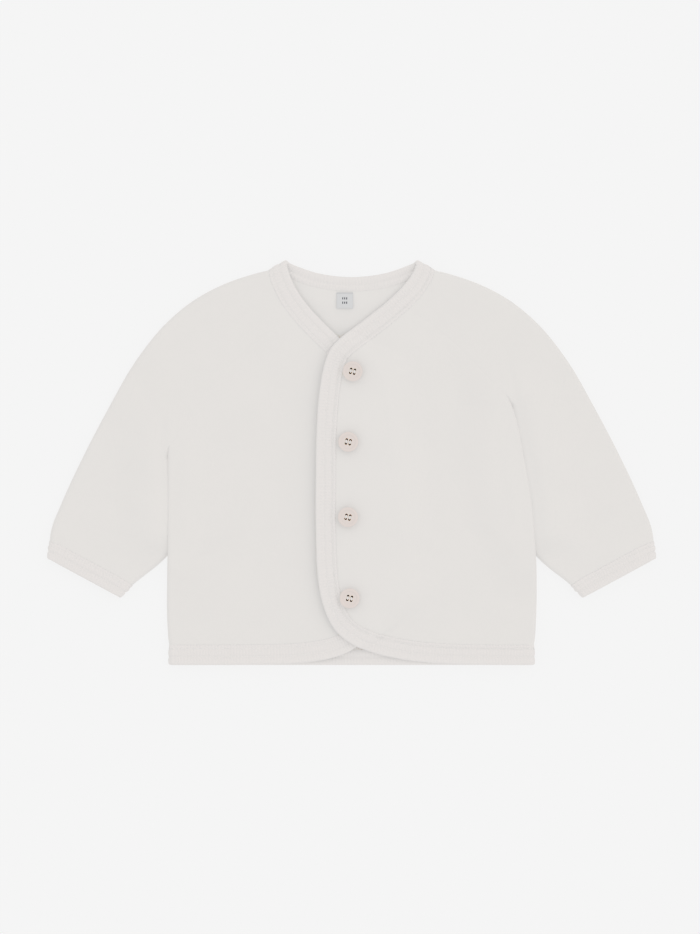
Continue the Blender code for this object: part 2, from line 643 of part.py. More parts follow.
def button(name, x, y, finish):
    """A four-hole button on its thread: a turned profile with a raised rim, and a square of holes."""
    profile = (
        (0.0, BUTTON_HEIGHT - BUTTON_DISH),
        (BUTTON_RADIUS - BUTTON_RIM - 1.0, BUTTON_HEIGHT - BUTTON_DISH),
        (BUTTON_RADIUS - BUTTON_RIM, BUTTON_HEIGHT),
        (BUTTON_RADIUS - 0.6, BUTTON_HEIGHT - 0.1),
        (BUTTON_RADIUS, BUTTON_HEIGHT - 0.9),
        (BUTTON_RADIUS - 0.3, 0.9),
        (BUTTON_RADIUS - 1.6, 0.0),
        (THREAD_RADIUS, 0.0),
        (THREAD_RADIUS, -THREAD_HEIGHT + SEAM),
        (0.0, -THREAD_HEIGHT + SEAM),
    )
    around = 24
    q = np.array([[x, y]])
    base = place(q, "left front", 1)[0][0, 2] + FLEECE / 2 + THREAD_HEIGHT
    points, faces = [], []
    for radius, height in profile[1:-1]:
        for i in range(around):
            turn = 2 * math.pi * i / around
            points.append((x + radius * math.cos(turn), y + radius * math.sin(turn), base + height))
    for ring in range(len(profile) - 3):
        for i in range(around):
            j = (i + 1) % around
            a, b = ring * around, (ring + 1) * around
            faces.append((a + i, b + i, b + j, a + j))
    faces.append(tuple(range(around)))
    last = (len(profile) - 3) * around
    faces.append(tuple(last + i for i in reversed(range(around))))
    made = add_object(name, points, faces, finish)
    for k in range(4):
        turn = math.pi / 4 + k * math.pi / 2 - HOLE_TURN
        reach = HOLE_SPACING / math.sqrt(2)
        bpy.ops.mesh.primitive_cylinder_add(
            vertices=8,
            radius=HOLE_RADIUS * MM,
            depth=2 * MM,
            location=(
                (x + reach * math.cos(turn)) * MM,
                (y + reach * math.sin(turn) - MIDDLE_Y) * MM,
                (base + BUTTON_HEIGHT - BUTTON_DISH) * MM,
            ),
        )
        hole = bpy.context.object
        hole.name = f"{name}_hole_{k + 1}"
        hole.hide_render = True
        hole.display_type = "WIRE"
        cut = made.modifiers.new("hole", "BOOLEAN")
        cut.operation = "DIFFERENCE"
        cut.object = hole
    return made


def clear_scene():
    for made in list(bpy.data.objects):
        bpy.data.objects.remove(made, do_unlink=True)


def main():
    clear_scene()
    finishes = {name: material(name) for name in COLOURS}
    fleece, rib = finishes["fleece"], finishes["rib"]
    cloth("back", *back_panel(), fleece)
    cloth("front_right", *front_panel(RIGHT), fleece)
    cloth("front_left", *front_panel(LEFT), fleece)
    for side, word in ((RIGHT, "right"), (LEFT, "left")):
        points, normals, closed = sleeve(side)
        cloth(f"sleeve_{word}", points, normals, fleece, closed_from=closed)
        wall(f"front_binding_{word}", *front_binding(side), rib)
        wall(f"cuff_{word}", *cuff_binding(side), rib, ring=True)
    wall("neck_binding", *neck_binding(), rib)
    wall("hem_binding", *hem_binding(), rib)
    wall("label", *label_grid(), finishes["label"])
    for i, (x, y) in enumerate(BUTTONS):
        button(f"button_{i + 1}", x, y, finishes["button"])


if __name__ == "__main__":
    main()
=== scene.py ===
"""The visible jacket: brushed fleece, ribbed bindings, stitches, buttons and label.

It repeats the outlines of the CAD at a finer step, with the layers pressed closer together,
and adds what cloth does by itself: rolled edges, puckers along the seams and soft creases.
Tables and sizes are in millimetres, and meshes in metres.
"""

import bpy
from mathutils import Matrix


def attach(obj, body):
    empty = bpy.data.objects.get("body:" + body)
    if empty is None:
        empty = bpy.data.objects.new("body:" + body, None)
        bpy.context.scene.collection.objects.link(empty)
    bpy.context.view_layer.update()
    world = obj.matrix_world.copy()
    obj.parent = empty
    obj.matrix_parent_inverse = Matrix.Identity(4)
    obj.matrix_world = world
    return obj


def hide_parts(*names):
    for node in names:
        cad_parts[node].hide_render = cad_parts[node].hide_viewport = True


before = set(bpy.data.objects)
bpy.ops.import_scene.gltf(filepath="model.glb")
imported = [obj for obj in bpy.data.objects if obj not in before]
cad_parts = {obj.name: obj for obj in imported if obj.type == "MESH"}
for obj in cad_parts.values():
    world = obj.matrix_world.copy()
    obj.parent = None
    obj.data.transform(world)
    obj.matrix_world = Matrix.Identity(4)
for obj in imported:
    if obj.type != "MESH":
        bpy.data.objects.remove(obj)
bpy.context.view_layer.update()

import math

import bpy
import numpy as np
from bpy.props import FloatProperty, FloatVectorProperty, PointerProperty
from mathutils import Vector

bl_info = {
    "name": "Baby's fleece jacket",
    "version": (1, 0, 0),
    "blender": (4, 5, 0),
    "location": "View3D > Sidebar > Jacket",
    "description": "Makes a fleece jacket laid flat, with ribbed bindings and buttons",
    "category": "Add Mesh",
}

MM = 0.001
RIGHT, LEFT = -1, 1  # the wearer's sides, which are also the signs of x

# Cloth. Its layers lie closer together than those of the CAD, which keep clear of each other.
FLEECE = 1.6
RIB = 0.75
SEAM = 0.12  # between fleece and rib
SHELL = FLEECE / 2 + SEAM
LOFT = 3.9  # from the middle of the lower layer to the middle of the upper one
PRESS = 0.06  # by which sewn layers press into each other at a fold

# Bindings
TURN = 1.5  # reach past the fleece's edge
OUTSIDE = 12.5  # reach from that edge, on the right side of the cloth
INSIDE = 8.5  # and on its wrong side
HEM_INSIDE = 12.5
CUFF_OUTSIDE = 11.0
CLEAR = 13.5  # from the fleece's edge, past the binding
NEEDLE_ROWS = (5.7, 11.5)  # from a binding's own edge
NECK_FAN = 22.0  # in which the ribs turn from the shoulder's fold to the edge
CUFF_FAN = 12.0  # the same at a cuff's folds
LIP = 3.0  # reach of a binding's thinner edge
LIP_RINGS = np.array([0.0, 0.12, 0.35, 0.8])  # from that edge
LIP_ROUND, LIP_BLUNT = 0.5, 0.15  # reach of its rounding, and share of its height that isn't
LIP_SHARE = 0.35  # of the rib's thickness there
STEEP_LIP = (0.5, (-139.5, 8.0, 88.0, 14.0))  # more of it on the left front, and where in y
LIP_GAP = 0.04  # between fleece and rib there
RING, INNER_RING = 0.45, 1.0  # from one row of points to the next, across
TURN_STEPS = 9  # rows round the turned edge
REACHES = 8  # rows of the fleece below, from which the others are found
OUTER_ENDS = (1.2, 0.2)  # where even rows stop: from the binding's edge and the fleece's
INNER_ENDS = (0.9, 1.0)
HIDDEN_REACHES = (0.0, 3.0, 6.0)  # of rows that lie against the fleece
NEEDLE_REACHES = (0.0, 4.0, 8.0)  # of rows from which the stitches are found
PAST_FOLD = -12.0  # degrees past a fold's edge, where an edge's binding starts
FOLD_STATIONS = 12
STATION, FINE_STATION = 1.0, 0.7  # from one station to the next, along

# Rise of the lower layer over the bindings below it
LIFT_FROM = CLEAR + 0.5
LIFT_RUN = 14.0
NECK_FROM = 85.0  # y above which the neck's binding is the nearest one
CUFF_FROM = (125.0, -15.0)  # x beyond and y below which a cuff's may be

# The left front's rise over the right one. Pairs hold what it is at the rounded corner and in
# the neck, and what it is between them.
LAP = (3.4, 5.0)
LAP_START = (-1.0, 8.0)  # past the right front's edge, where it starts to fall
LAP_RUN = (9.0, 28.0)
LAP_HIGH = (-128.0, 36.0, 96.0, 30.0)  # where in y it is high, as within() reads it
LAP_SLOW = (-130.0, 40.0, 104.0, 34.0)  # and where it falls late and slowly

# Sleeves and body at the side fold
TUCK_LOFT = 2.1  # of a sleeve that the body lies on
TUCK_HEIGHT = FLEECE + TUCK_LOFT + 0.7  # with some air
TUCK_EDGE, TUCK_RUN = 9.0, 30.0  # inside the sleeve's fold, where the body comes down again
TUCK_FOOT, TUCK_FOOT_RUN = -28.0, 24.0  # from the crossing of both folds, in y
BESIDE = 8.0  # outside the body's fold, where its crease starts to rise
CREASE = 40.0  # above the armpit, in which that crease fades out
DIVE = 7.0  # below the armpit, in which a sleeve goes under the body
PRESSED = (-3.0, 1.0)  # inside and outside the body's fold, where the sleeve is pressed flat
PRESSED_MORE = 9.0  # by which that is wider at the crossing
CROSSING_RUN = 18.0  # above the crossing, in which that narrows and the sleeve fills
PUFF = 5.2  # by which the sleeve is fuller beside the body
PUFF_START, PUFF_FULL = -40.0, -10.0  # from the body's fold
DIP = 0.5  # share of it that is lost along the body's fold
DIP_START, DIP_RUN = -12.0, 13.0
SIDE_LOFT = 2.6  # of the body's fold that lies on a sleeve
SIDE_RUN = 30.0  # above the crossing, in which the body's fold comes down to that

# Rise of the back in the neck, where no front lies on it
BULGE = 1.2
BULGE_FROM = 70.0  # in y
BULGE_SIDE = (-9.0, 13.0)  # start and run, from the fronts' edges
BULGE_TOP = (5.0, 16.0)  # and from the neck's edge

CROTCH_Y = -66.6  # where a sleeve's underarm fold comes out from under the body
HEM_Y = -141.4
SIDE_X = 128.0
MIDDLE_Y = -0.345

# Outlines, as in the CAD: (x, y), x mirrored for the other side
SHOULDER_FOLD = (
    (46.0, 140.0), (57.0, 134.2), (67.4, 131.5), (90.4, 123.5), (109.4, 113.3), (129.6, 96.6),
    (149.8, 71.5), (169.3, 37.9), (186.8, 4.4), (202.4, -29.2), (209.0, -46.0), (211.3, -66.0),
)
BACK_NECK = (
    (-45.9, 141.1), (-38.5, 137.8), (-27.3, 133.6), (-13.0, 130.8), (0.0, 129.9),
    (13.0, 130.8), (27.3, 133.6), (38.5, 137.8), (45.9, 141.1),
)
CUFF_END = ((211.3, -66.0), (162.0, -92.6))

# The binding draws the fold in at the hem
HEM_CORNER = ((128.0, -115.0), (127.5, -122.5), (126.6, -128.5), (126.5, -139.9))
HEM_INSET = LOFT / 2 + SIDE_X - HEM_CORNER[-1][0]  # of the hem's flat part from the side line

# Outlines that differ from side to side
FRONT_EDGE = {
    LEFT: (
        (45.9, 141.1), (43.6, 134.6), (39.2, 127.6), (34.4, 122.0), (23.5, 111.8), (11.5, 102.2),
        (0.7, 94.0), (-8.0, 87.2), (-14.6, 80.0), (-18.4, 71.0), (-21.8, 55.5), (-24.2, 30.0),
        (-25.1, -10.0), (-24.9, -55.0), (-23.2, -84.0), (-19.2, -102.0), (-12.0, -116.5),
        (-1.0, -126.2), (13.0, -132.2), (32.0, -137.0), (60.0, -140.2), (95.0, -141.3),
        (128.0, -141.4),
    ),
    RIGHT: (
        (-45.9, 141.1), (-44.4, 135.0), (-41.3, 126.8), (-37.6, 119.8), (-28.3, 107.4),
        (-15.4, 94.0), (-6.0, 84.8), (3.0, 75.0), (10.0, 62.0), (15.0, 42.0), (19.5, 10.0),
        (23.0, -30.0), (25.0, -70.0), (23.5, -95.0), (16.5, -115.0), (5.0, -128.0),
        (-8.0, -134.8), (-28.0, -139.2), (-60.0, -141.0), (-95.0, -141.4), (-128.0, -141.4),
    ),
}
CORNER = {LEFT: (-12.0, -116.5), RIGHT: (16.5, -115.0)}
RAGLAN = {
    LEFT: ((29.0, 116.5), (45.5, 104.1), (69.3, 85.9), (95.2, 59.6), (109.6, 45.0)),
    RIGHT: (
        (-32.0, 112.2), (-42.0, 104.1), (-64.7, 85.9), (-90.3, 62.8), (-116.2, 28.0),
        (-128.0, 10.0),
    ),
}
BACK_RAGLAN = {
    LEFT: ((32.0, 135.0), (50.0, 117.0), (72.0, 91.0), (92.0, 66.0), (109.6, 45.0)),
    RIGHT: (
        (-32.0, 135.0), (-50.0, 117.0), (-75.0, 90.0), (-100.0, 58.0), (-119.0, 27.0),
        (-128.0, 10.0),
    ),
}
SIDE_FOLD = {
    LEFT: (
        (109.6, 45.0), (114.4, 32.0), (120.6, 3.0), (126.0, -30.0), (128.0, -60.0), *HEM_CORNER,
    ),
    RIGHT: (
        (-128.0, 10.0), (-128.0, -30.0), (-128.0, -60.0), *((-x, y) for x, y in HEM_CORNER),
    ),
}
CREASE_LINE = {LEFT: (102.0, 85.0), RIGHT: (-128.0, 50.0)}  # through which a side fold goes on
UNDERARM_FOLD = {
    LEFT: (
        (109.9, 44.9), (112.3, 39.5), (110.6, 32.0), (109.0, 20.0), (109.0, -12.0),
        (114.0, -42.0), (131.6, -66.6), (154.8, -85.8), (162.0, -92.6),
    ),
    RIGHT: (
        (-128.3, 10.0), (-128.3, 3.8), (-125.0, -3.5), (-118.5, -18.0), (-116.0, -36.0),
        (-119.0, -52.0), (-131.6, -66.6), (-154.8, -85.8), (-162.0, -92.6),
    ),
}
ARMPIT_ON_SHOULDER = {LEFT: (151.0, 69.8), RIGHT: (-171.5, 34.0)}

# Soft creases of each layer: both ends, height (negative for a trough) and half width
FOLDS = {
    "sleeve": (
        (-131, 20, -150, 62, -0.9, 6.0), (-140, 0, -172, 22, 0.6, 8.0),
        (-146, -40, -186, -22, -0.5, 7.0), (-150, -62, -190, -52, 0.5, 7.0),
        (-96, 112, -128, 84, 0.5, 9.0), (-62, 112, -84, 96, -0.4, 8.0),
        (118, 52, 146, 78, -0.8, 6.0), (132, 20, 164, 34, 0.6, 8.0),
        (146, -30, 184, -8, -0.5, 7.0), (152, -58, 192, -50, 0.5, 7.0),
        (90, 118, 122, 92, 0.5, 9.0), (58, 112, 80, 100, -0.4, 8.0),
    ),
    "body": (
        (-112, 20, -74, 4, -0.5, 8.0), (-104, -38, -62, -52, 0.4, 10.0),
        (-60, 78, -34, 52, 0.35, 9.0), (-96, -118, -92, -84, 0.3, 7.0),
        (-48, -120, -44, -78, -0.3, 8.0), (96, 40, 62, 18, -0.5, 8.0),
        (108, -30, 70, -46, 0.4, 10.0), (58, 84, 36, 58, 0.35, 9.0),
        (72, -120, 70, -80, 0.3, 7.0), (30, -60, 62, -70, -0.3, 9.0),
        (12, 40, 48, 34, 0.3, 8.0), (14, -12, 52, -18, 0.25, 8.0),
    ),
    "under sleeve": (
        (-134, 26, -158, 58, 0.5, 6.0), (-142, -30, -180, -14, 0.4, 7.0),
        (-72, 106, -100, 88, 0.35, 7.0), (122, 50, 150, 74, 0.5, 6.0),
        (150, -34, 186, -20, 0.4, 7.0), (68, 108, 96, 92, 0.35, 7.0),
    ),
    "under body": (
        (-100, 30, -58, 52, 0.5, 8.0), (-92, -30, -30, -44, 0.4, 9.0),
        (92, 16, 50, 40, 0.5, 8.0), (88, -52, 24, -60, 0.35, 9.0),
        (-70, -112, -58, -80, 0.3, 7.0), (60, -116, 72, -84, 0.3, 7.0),
    ),
}
CREASE_BEND = 0.12  # of a crease's length, to one side
CREASE_END, CREASE_FADE = 0.2, 1.6  # it goes past its ends, and fades there

# Slow waves in the height of every upper layer: wave numbers in x and y, phase, height
WAVES = (
    (0.052, 0.031, 0.4, 0.16), (-0.038, 0.061, 1.9, 0.14),
    (0.083, -0.047, 3.1, 0.08), (0.021, 0.094, 5.0, 0.09),
)

# Grids
STEP = 1.9  # cell of the fleece meshes
RIB_SAMPLES = 6  # stations in one rib
CHORDS = 24  # of a smooth line, from point to point
FOLD_ANGLES = np.linspace(0, 90, 8)
INTO_FOLD, OUT_OF_FOLD = FOLD_ANGLES[:-1], FOLD_ANGLES[-2::-1]
# Lengths by which rows and columns are counted, the same for both sides
BACK_SEAM, SIDE_SEAM, UNDERARM_SEAM, SLEEVE_WIDTH = 130.0, 170.0, 130.0, 70.0
TOP_SHARE, ARMPIT_SHARE = 1.25, 1.4  # powers that bring a fold's rows closer at its top
SEAM_FAN = 5.0  # in which a fold's rows turn from the seam at its top

# Sewn edges of the fleece
ROLL = 1.0  # reach of their rounding
SEWN_THIN = 0.06  # share of the thickness that they lose
SEWN_GAP = -0.1  # between two of them, which press into each other
SEAM_END = 6.0  # past the armpit, in which a sleeve's seam ends
VALLEY = 2.0  # reach of the valley along a seam
SWELL, SWELL_AT, SWELL_REACH = 0.7, 3.5, 2.6  # rise beside it, as a share of its depth
PUCKER, PUCKER_PITCH, PUCKER_WANDER = 0.5, 6.3, 11.0  # waves along that rise
SHARP = math.radians(60)  # from which an edge isn't smooth

# Ribs
RIB_START, RIB_RISE = 0.25, 200.0  # share of their depth at the turned edge, and more a metre
RIB_MEAN = 0.7  # taken off, so that the ribs rise as the valleys sink
GROOVE_SHARE = 0.6  # of a rib's depth that a groove takes
INNER_LIP_SHARE = 0.1  # of that depth at the inner lip
STEEP_GROOVE = 1.4  # by which the left front's second groove is deeper

# Buttons
BUTTONS = ((0.7, 63.9), (-2.4, 14.6), (-2.6, -38.0), (-1.4, -94.7))
BUTTON_HEIGHT = 2.8
THREAD_HEIGHT = 1.4  # below a button
AROUND = 96  # points round it
HOLE_TURN = math.radians(12)  # of the four holes, from square
HOLE_DEPTH, HOLE_EDGE = 1.7, 0.22
FACE_RINGS = 30  # in which the holes are
SLOPE = 1.2  # width of the slope from the dish up to the rim
CROWN = 0.12  # rise of the rim's middle
BUTTON_ROUND, BUTTON_DROP = 0.5, 0.9  # width and height of its rounded edge
STRAND, STRAND_PITCH = 0.16, 0.27  # radius of a strand of thread, and from one to the next
STRAND_RISE, STRAND_DIP = 0.28, 0.5  # of its arch, and of its ends in the holes
STRAND_SIDES, STRAND_STAGES = 6, 9

# Label
LABEL_CENTRE = (-4.8, 113.5)
LABEL_ROWS = 25  # of points, each way
LABEL_GAP = 0.45  # above the back
LABEL_RAISED, LABEL_BENT = 0.35, 0.12  # its lower end, and across
LABEL_HALF, LABEL_EDGE, LABEL_ROUND = 0.4, 0.06, 0.5  # half thickness, and what edges have
# Its marks, in metres from its lower left corner
WEAVE_PITCH, BAR_PITCH = 0.0005, 0.0014
BARS_AT, BARS_REACH = 0.0057, 0.0021
BAR_SHARE = -0.35  # cosine at a bar's sides
BAR_ROWS, BAR_HALF = (0.0041, 0.0071), 0.0009
# Start of the painted shade along its upper end, where a fold would be
LABEL_FOLD_SHADE = 0.0102

# Stage, in metres
FLOOR_HALF, FLOOR_Z = 20.0, -0.0002
SUN_FROM, SUN_SPREAD = (0.62, 0.38, 1.0), math.radians(50)
# Points of the tone curve, which lifts the shadows of white cloth
SOFT_TONES = ((0.2, 0.2), (0.45, 0.575), (0.62, 0.675), (0.776, 0.776), (0.913, 0.913))
VIEW_HEIGHT = 0.6538  # that the camera sees from top to bottom
VIEW_CENTRE = (-0.00115, -0.0026)
CAMERA_HEIGHT, SENSOR = 6.0, 36.0


class Line:
    """A smooth plan line through points, read by its length. hand is its cloth's side."""

    def __init__(self, points, hand):
        given = np.array(points, float)
        knots = np.append(0, np.cumsum(np.linalg.norm(np.diff(given, axis=0), axis=1)))
        slopes = np.gradient(given, knots, axis=0)
        pieces = []
        for i in range(len(given) - 1):
            width = knots[i + 1] - knots[i]
            t = np.linspace(0, 1, CHORDS, endpoint=False)[:, None]
            pieces.append(
                (2 * t**3 - 3 * t**2 + 1) * given[i]
                + (t**3 - 2 * t**2 + t) * width * slopes[i]
                + (3 * t**2 - 2 * t**3) * given[i + 1]
                + (t**3 - t**2) * width * slopes[i + 1]
            )
        self.points = np.concatenate([*pieces, given[-1:]])
        self.hand = hand
        steps = np.linalg.norm(np.diff(self.points, axis=0), axis=1)
        self.marks = np.append(0, np.cumsum(steps))
        self.length = self.marks[-1]

    def at(self, s):
        return np.stack([np.interp(s, self.marks, self.points[:, k]) for k in (0, 1)], axis=-1)

    def inward(self, s):
        """Unit normal into the cloth."""
        s = np.asarray(s, float)
        ahead = self.at(np.minimum(s + 1, self.length)) - self.at(np.maximum(s - 1, 0))
        return unit(np.stack([-ahead[..., 1], ahead[..., 0]], axis=-1) * self.hand)

    def moved(self, distance):
        """The line moved into the cloth, as a line of its own."""
        marks = self.marks[:: CHORDS // 2]
        return Line(self.at(marks) + distance * self.inward(marks), self.hand)

    def before_fold(self, count):
        """Length marks up to the fold that the line ends on."""
        return np.linspace(0, self.length - LOFT / 2, count)

    def nearest(self, q):
        """Length mark nearest to one point."""
        return self.marks[np.argmin(np.linalg.norm(self.points - np.array(q), axis=1))]

    def reach(self, q):
        """Distance of each point from the line."""
        best = np.inf
        nodes = self.points[:: CHORDS // 4]
        for start, end in zip(nodes, nodes[1:]):
            run = end - start
            share = np.clip((q - start) @ run / (run @ run), 0, 1)
            far = np.linalg.norm(q - start - share[..., None] * run, axis=-1)
            best = np.minimum(best, far)
        return best


def ramp(x):
    """0 below 0 and 1 above 1, with no corner."""
    x = np.clip(x, 0, 1)
    return x * x * (3 - 2 * x)


def rise(x, start, run):
    """0 below the start and 1 beyond the run after it."""
    return ramp((x - start) / run)


def within(x, start, run, end, fall):
    """Rises in the run after the start, and falls in the run before the end."""
    return rise(x, start, run) * ramp((end - x) / fall)


def blend(a, b, share):
    return a + share * (b - a)


def bell(x):
    return np.exp(-x * x)


def unit(v):
    return v / np.linalg.norm(v, axis=-1, keepdims=True)


def x_at(table, y):
    """x of a line that falls in y, as in the tables."""
    rows = sorted((b, a) for a, b in table)
    return np.interp(y, [r[0] for r in rows], [r[1] for r in rows])


def mirrored(points, side):
    return [(side * x, y) for x, y in points]


def from_edge(points, edge):
    """A raglan seam's points, the first one brought onto the fleece edge it starts from."""
    return [tuple(edge.at(edge.nearest(points[0]))), *points[1:]]


class Cut:
    """The plan lines that the pieces share."""

    def __init__(self):
        self.edge, self.shoulder, self.side, self.under, self.cuff = {}, {}, {}, {}, {}
        self.raglan, self.back_raglan = {}, {}
        self.neck = Line(BACK_NECK, -1).moved(TURN)
        self.hem = Line(((-SIDE_X, HEM_Y), (0, HEM_Y), (SIDE_X, HEM_Y)), 1).moved(TURN)
        for side in (RIGHT, LEFT):
            self.edge[side] = Line(FRONT_EDGE[side], side).moved(TURN)
            self.shoulder[side] = Line(mirrored(SHOULDER_FOLD, side), -side)
            self.side[side] = Line(SIDE_FOLD[side], -side)
            self.under[side] = Line(UNDERARM_FOLD[side], side)
            self.cuff[side] = Line(mirrored(CUFF_END, side), -side)
            self.raglan[side] = from_edge(RAGLAN[side], self.edge[side])
            self.back_raglan[side] = from_edge(BACK_RAGLAN[side], self.neck)


CUT = Cut()


# Heights of the layers


def binding_lift(q):
    """Height that a binding below the lower layer gives it."""
    near = q[..., 1] - HEM_Y - TURN
    high = q[..., 1] > NECK_FROM
    if high.any():
        near[high] = CUT.neck.reach(q[high])
    for side in (RIGHT, LEFT):
        far = (side * q[..., 0] > CUFF_FROM[0]) & (q[..., 1] < CUFF_FROM[1])
        if far.any():
            near[far] = np.minimum(near[far], CUT.cuff[side].reach(q[far]))
    return (RIB + SEAM) * (1 - rise(near, LIFT_FROM, LIFT_RUN))


def inside_fold(q, side):
    """Distance into the body from the side fold's line, drawn on upwards."""
    table = (*SIDE_FOLD[side], CREASE_LINE[side])
    return side * (x_at(table, q[..., 1]) - q[..., 0])


def armpit_y(side):
    return SIDE_FOLD[side][0][1]


def tuck_lift(q, sleeve):
    """Height that the tucked sleeves give the body, and the body's crease gives the sleeve."""
    y = q[..., 1]
    total = np.zeros(y.shape)
    for side in (RIGHT, LEFT):
        top = armpit_y(side)
        tucked = [(a, b) for a, b in UNDERARM_FOLD[side] if b >= CROTCH_Y]
        share = 1 - rise(side * (x_at(tucked, y) - q[..., 0]), TUCK_EDGE, TUCK_RUN)
        share = share * rise(y, CROTCH_Y + TUCK_FOOT, TUCK_FOOT_RUN) * (1 - rise(y, top, CREASE))
        share = share * rise(inside_fold(q, side), -BESIDE, BESIDE)
        if sleeve:
            share = share * rise(y, top - DIVE, DIVE)
        total = total + TUCK_HEIGHT * share
    return total


def loft(q, sleeve):
    """Middle of the lower layer to the middle of the upper one."""
    y = q[..., 1]
    height = np.full(y.shape, LOFT)
    for side in (RIGHT, LEFT):
        inside, top = inside_fold(q, side), armpit_y(side)
        here = side * q[..., 0] > 0
        above = rise(y, CROTCH_Y, CROSSING_RUN if sleeve else SIDE_RUN) * here
        if sleeve:
            width = PRESSED[1] - PRESSED[0] + PRESSED_MORE * (1 - rise(y, CROTCH_Y, CROSSING_RUN))
            pressed = rise(inside, -PRESSED[1], width) * ramp((top - y) / DIVE) * here
            lifted = rise(y, top - DIVE, DIVE) * rise(inside, -BESIDE, BESIDE)
            roll = PUFF * rise(inside, PUFF_START, PUFF_FULL - PUFF_START)
            roll = roll * (1 - DIP * rise(inside, DIP_START, DIP_RUN))
            roll = roll * above * (1 - rise(y, top, CREASE)) * (1 - lifted)
            height = height + roll * (1 - pressed) - (LOFT - TUCK_LOFT) * pressed
        else:
            low = ramp((top - y) / CREASE) * (1 - ramp(inside / LIFT_RUN)) * above
            height = height - (LOFT - SIDE_LOFT) * low
    return height


def bulge(q):
    """Rise of the back where it shows in the neck, below its binding."""
    x, y = q[..., 0], q[..., 1]
    opening = np.minimum(x - x_at(FRONT_EDGE[RIGHT], y), x_at(FRONT_EDGE[LEFT], y) - x)
    below = np.interp(x, *np.transpose(BACK_NECK)) - y
    return BULGE * (y > BULGE_FROM) * rise(opening, *BULGE_SIDE) * rise(below, *BULGE_TOP)


def lap(q):
    """Height of the left front over the right one."""
    y = q[..., 1]
    past = q[..., 0] - x_at(FRONT_EDGE[RIGHT], y)
    slow = within(y, *LAP_SLOW)
    falls = rise(past, blend(*LAP_START, slow), blend(*LAP_RUN, slow))
    return blend(*LAP, within(y, *LAP_HIGH)) * (1 - falls)


def creases(q, layer):
    """Soft folds of a layer, and the slow waves of an upper one. The rest lies on the table."""
    total = np.zeros(q.shape[:-1])
    for x0, y0, x1, y1, height, width in FOLDS[layer]:
        run = np.array([x1 - x0, y1 - y0], float)
        length = np.hypot(*run)
        along = (q - (x0, y0)) @ run / length**2
        across = (q - (x0, y0)) @ np.array([-run[1], run[0]]) / length
        bend = CREASE_BEND * length * (along - along**2)
        ends = ramp(CREASE_FADE * (along + CREASE_END))
        ends = ends * ramp(CREASE_FADE * (1 + CREASE_END - along))
        total = total + height * bell((across - bend) / width) * ends
    if layer.startswith("under"):
        return total
    for kx, ky, phase, height in WAVES:
        total = total + height * np.sin(kx * q[..., 0] + ky * q[..., 1] + phase)
    return total


def level(q, layer, sign, flat):
    """Height of a layer's middle. sign is 1 above and -1 below, and flat is 0 at a fold's edge."""
    sleeve = layer == "sleeve"
    kind = "sleeve" if sleeve else "body"
    upper = (1 + sign) / 2
    folds = blend(creases(q, f"under {kind}"), creases(q, kind), upper)
    z = FLEECE / 2 + binding_lift(q) + tuck_lift(q, sleeve) + loft(q, sleeve) * upper
    z = z + folds * flat + bulge(q) * (1 - upper)
    return z + lap(q) if layer == "left front" else z


def place(q, layer, sign, turned=90.0):
    """Points of a layer's middle surface. turned is the angle round the fold at its edge.

    The layers press into each other at a fold, so that the side seam is closed.
    """
    height = np.sin(np.radians(turned))
    half = loft(q, layer == "sleeve") / 2
    z = level(q, layer, sign, np.clip(height, 0, 1)) - sign * (half + PRESS) * (1 - height)
    return np.concatenate([q, z[..., None]], axis=-1)


# Grids of the fleece pieces


def steps(length):
    return max(4, int(round(length / STEP)) + 1)


def fills(top, bottom, left, right):
    """A grid that blends four edges. top and bottom run as its columns, the others as its rows."""

    def share(line):
        runs = np.append(0, np.cumsum(np.linalg.norm(np.diff(line, axis=0), axis=1)))
        return runs / runs[-1]

    v = ((share(left) + share(right)) / 2)[:, None]
    u = blend(share(top)[None, :], share(bottom)[None, :], v)[..., None]
    v = v[..., None]
    corners = blend(blend(top[0], top[-1], u), blend(bottom[0], bottom[-1], u), v)
    return blend(top, bottom, v) + blend(left[:, None], right[:, None], u) - corners


def fold_depth(angles, half=LOFT / 2):
    """How far inside a fold's edge its cloth lies, at angles round the fold."""
    return half * (1 - np.cos(np.radians(angles)))


def fold_band(line, shares, layer, seam=None):
    """Plan points beside a fold at FOLD_ANGLES, from its edge inwards, at shares of its length.

    seam is the way that its first row lies.
    """
    marks = shares * line.length
    on_fold, inward = line.at(marks), line.inward(marks)
    if seam is not None:
        inward = unit(blend(seam, inward, ramp((marks - marks[0]) / SEAM_FAN)[:, None]))
    depth = fold_depth(FOLD_ANGLES, loft(on_fold, layer == "sleeve")[:, None] / 2)
    return on_fold[:, None] + depth[..., None] * inward[:, None]


def front_grid(side):
    """Middle surface of one front: columns from opening to side, rows from raglan seam to hem."""
    edge = CUT.edge[side]
    seam = Line(CUT.raglan[side], -side).moved(SEWN_GAP / 2)
    start, corner = edge.nearest(CUT.raglan[side][0]), edge.nearest(CORNER[side])
    rows, columns = steps(corner - start), steps(edge.length - corner - HEM_INSET)
    top = seam.at(seam.before_fold(columns))
    down = np.linspace(0, 1, rows) ** TOP_SHARE
    way = unit(top[-1] - seam.at(seam.length))
    folded = fold_band(CUT.side[side], down, "body", way)[:, ::-1]
    left = edge.at(np.linspace(start, corner, rows))
    bottom = edge.at(np.linspace(corner, edge.length - HEM_INSET, columns))
    left[0], left[-1] = top[0], bottom[0]
    right = folded[:, 0].copy()
    right[0], right[-1] = top[-1], bottom[-1]
    grid = np.concatenate([fills(top, bottom, left, right), folded[:, 1:]], axis=1)
    turned = np.full(grid.shape[:2], 90.0)
    turned[:, columns:] = OUT_OF_FOLD
    return place(grid, "left front" if side == LEFT else "body", 1, turned)


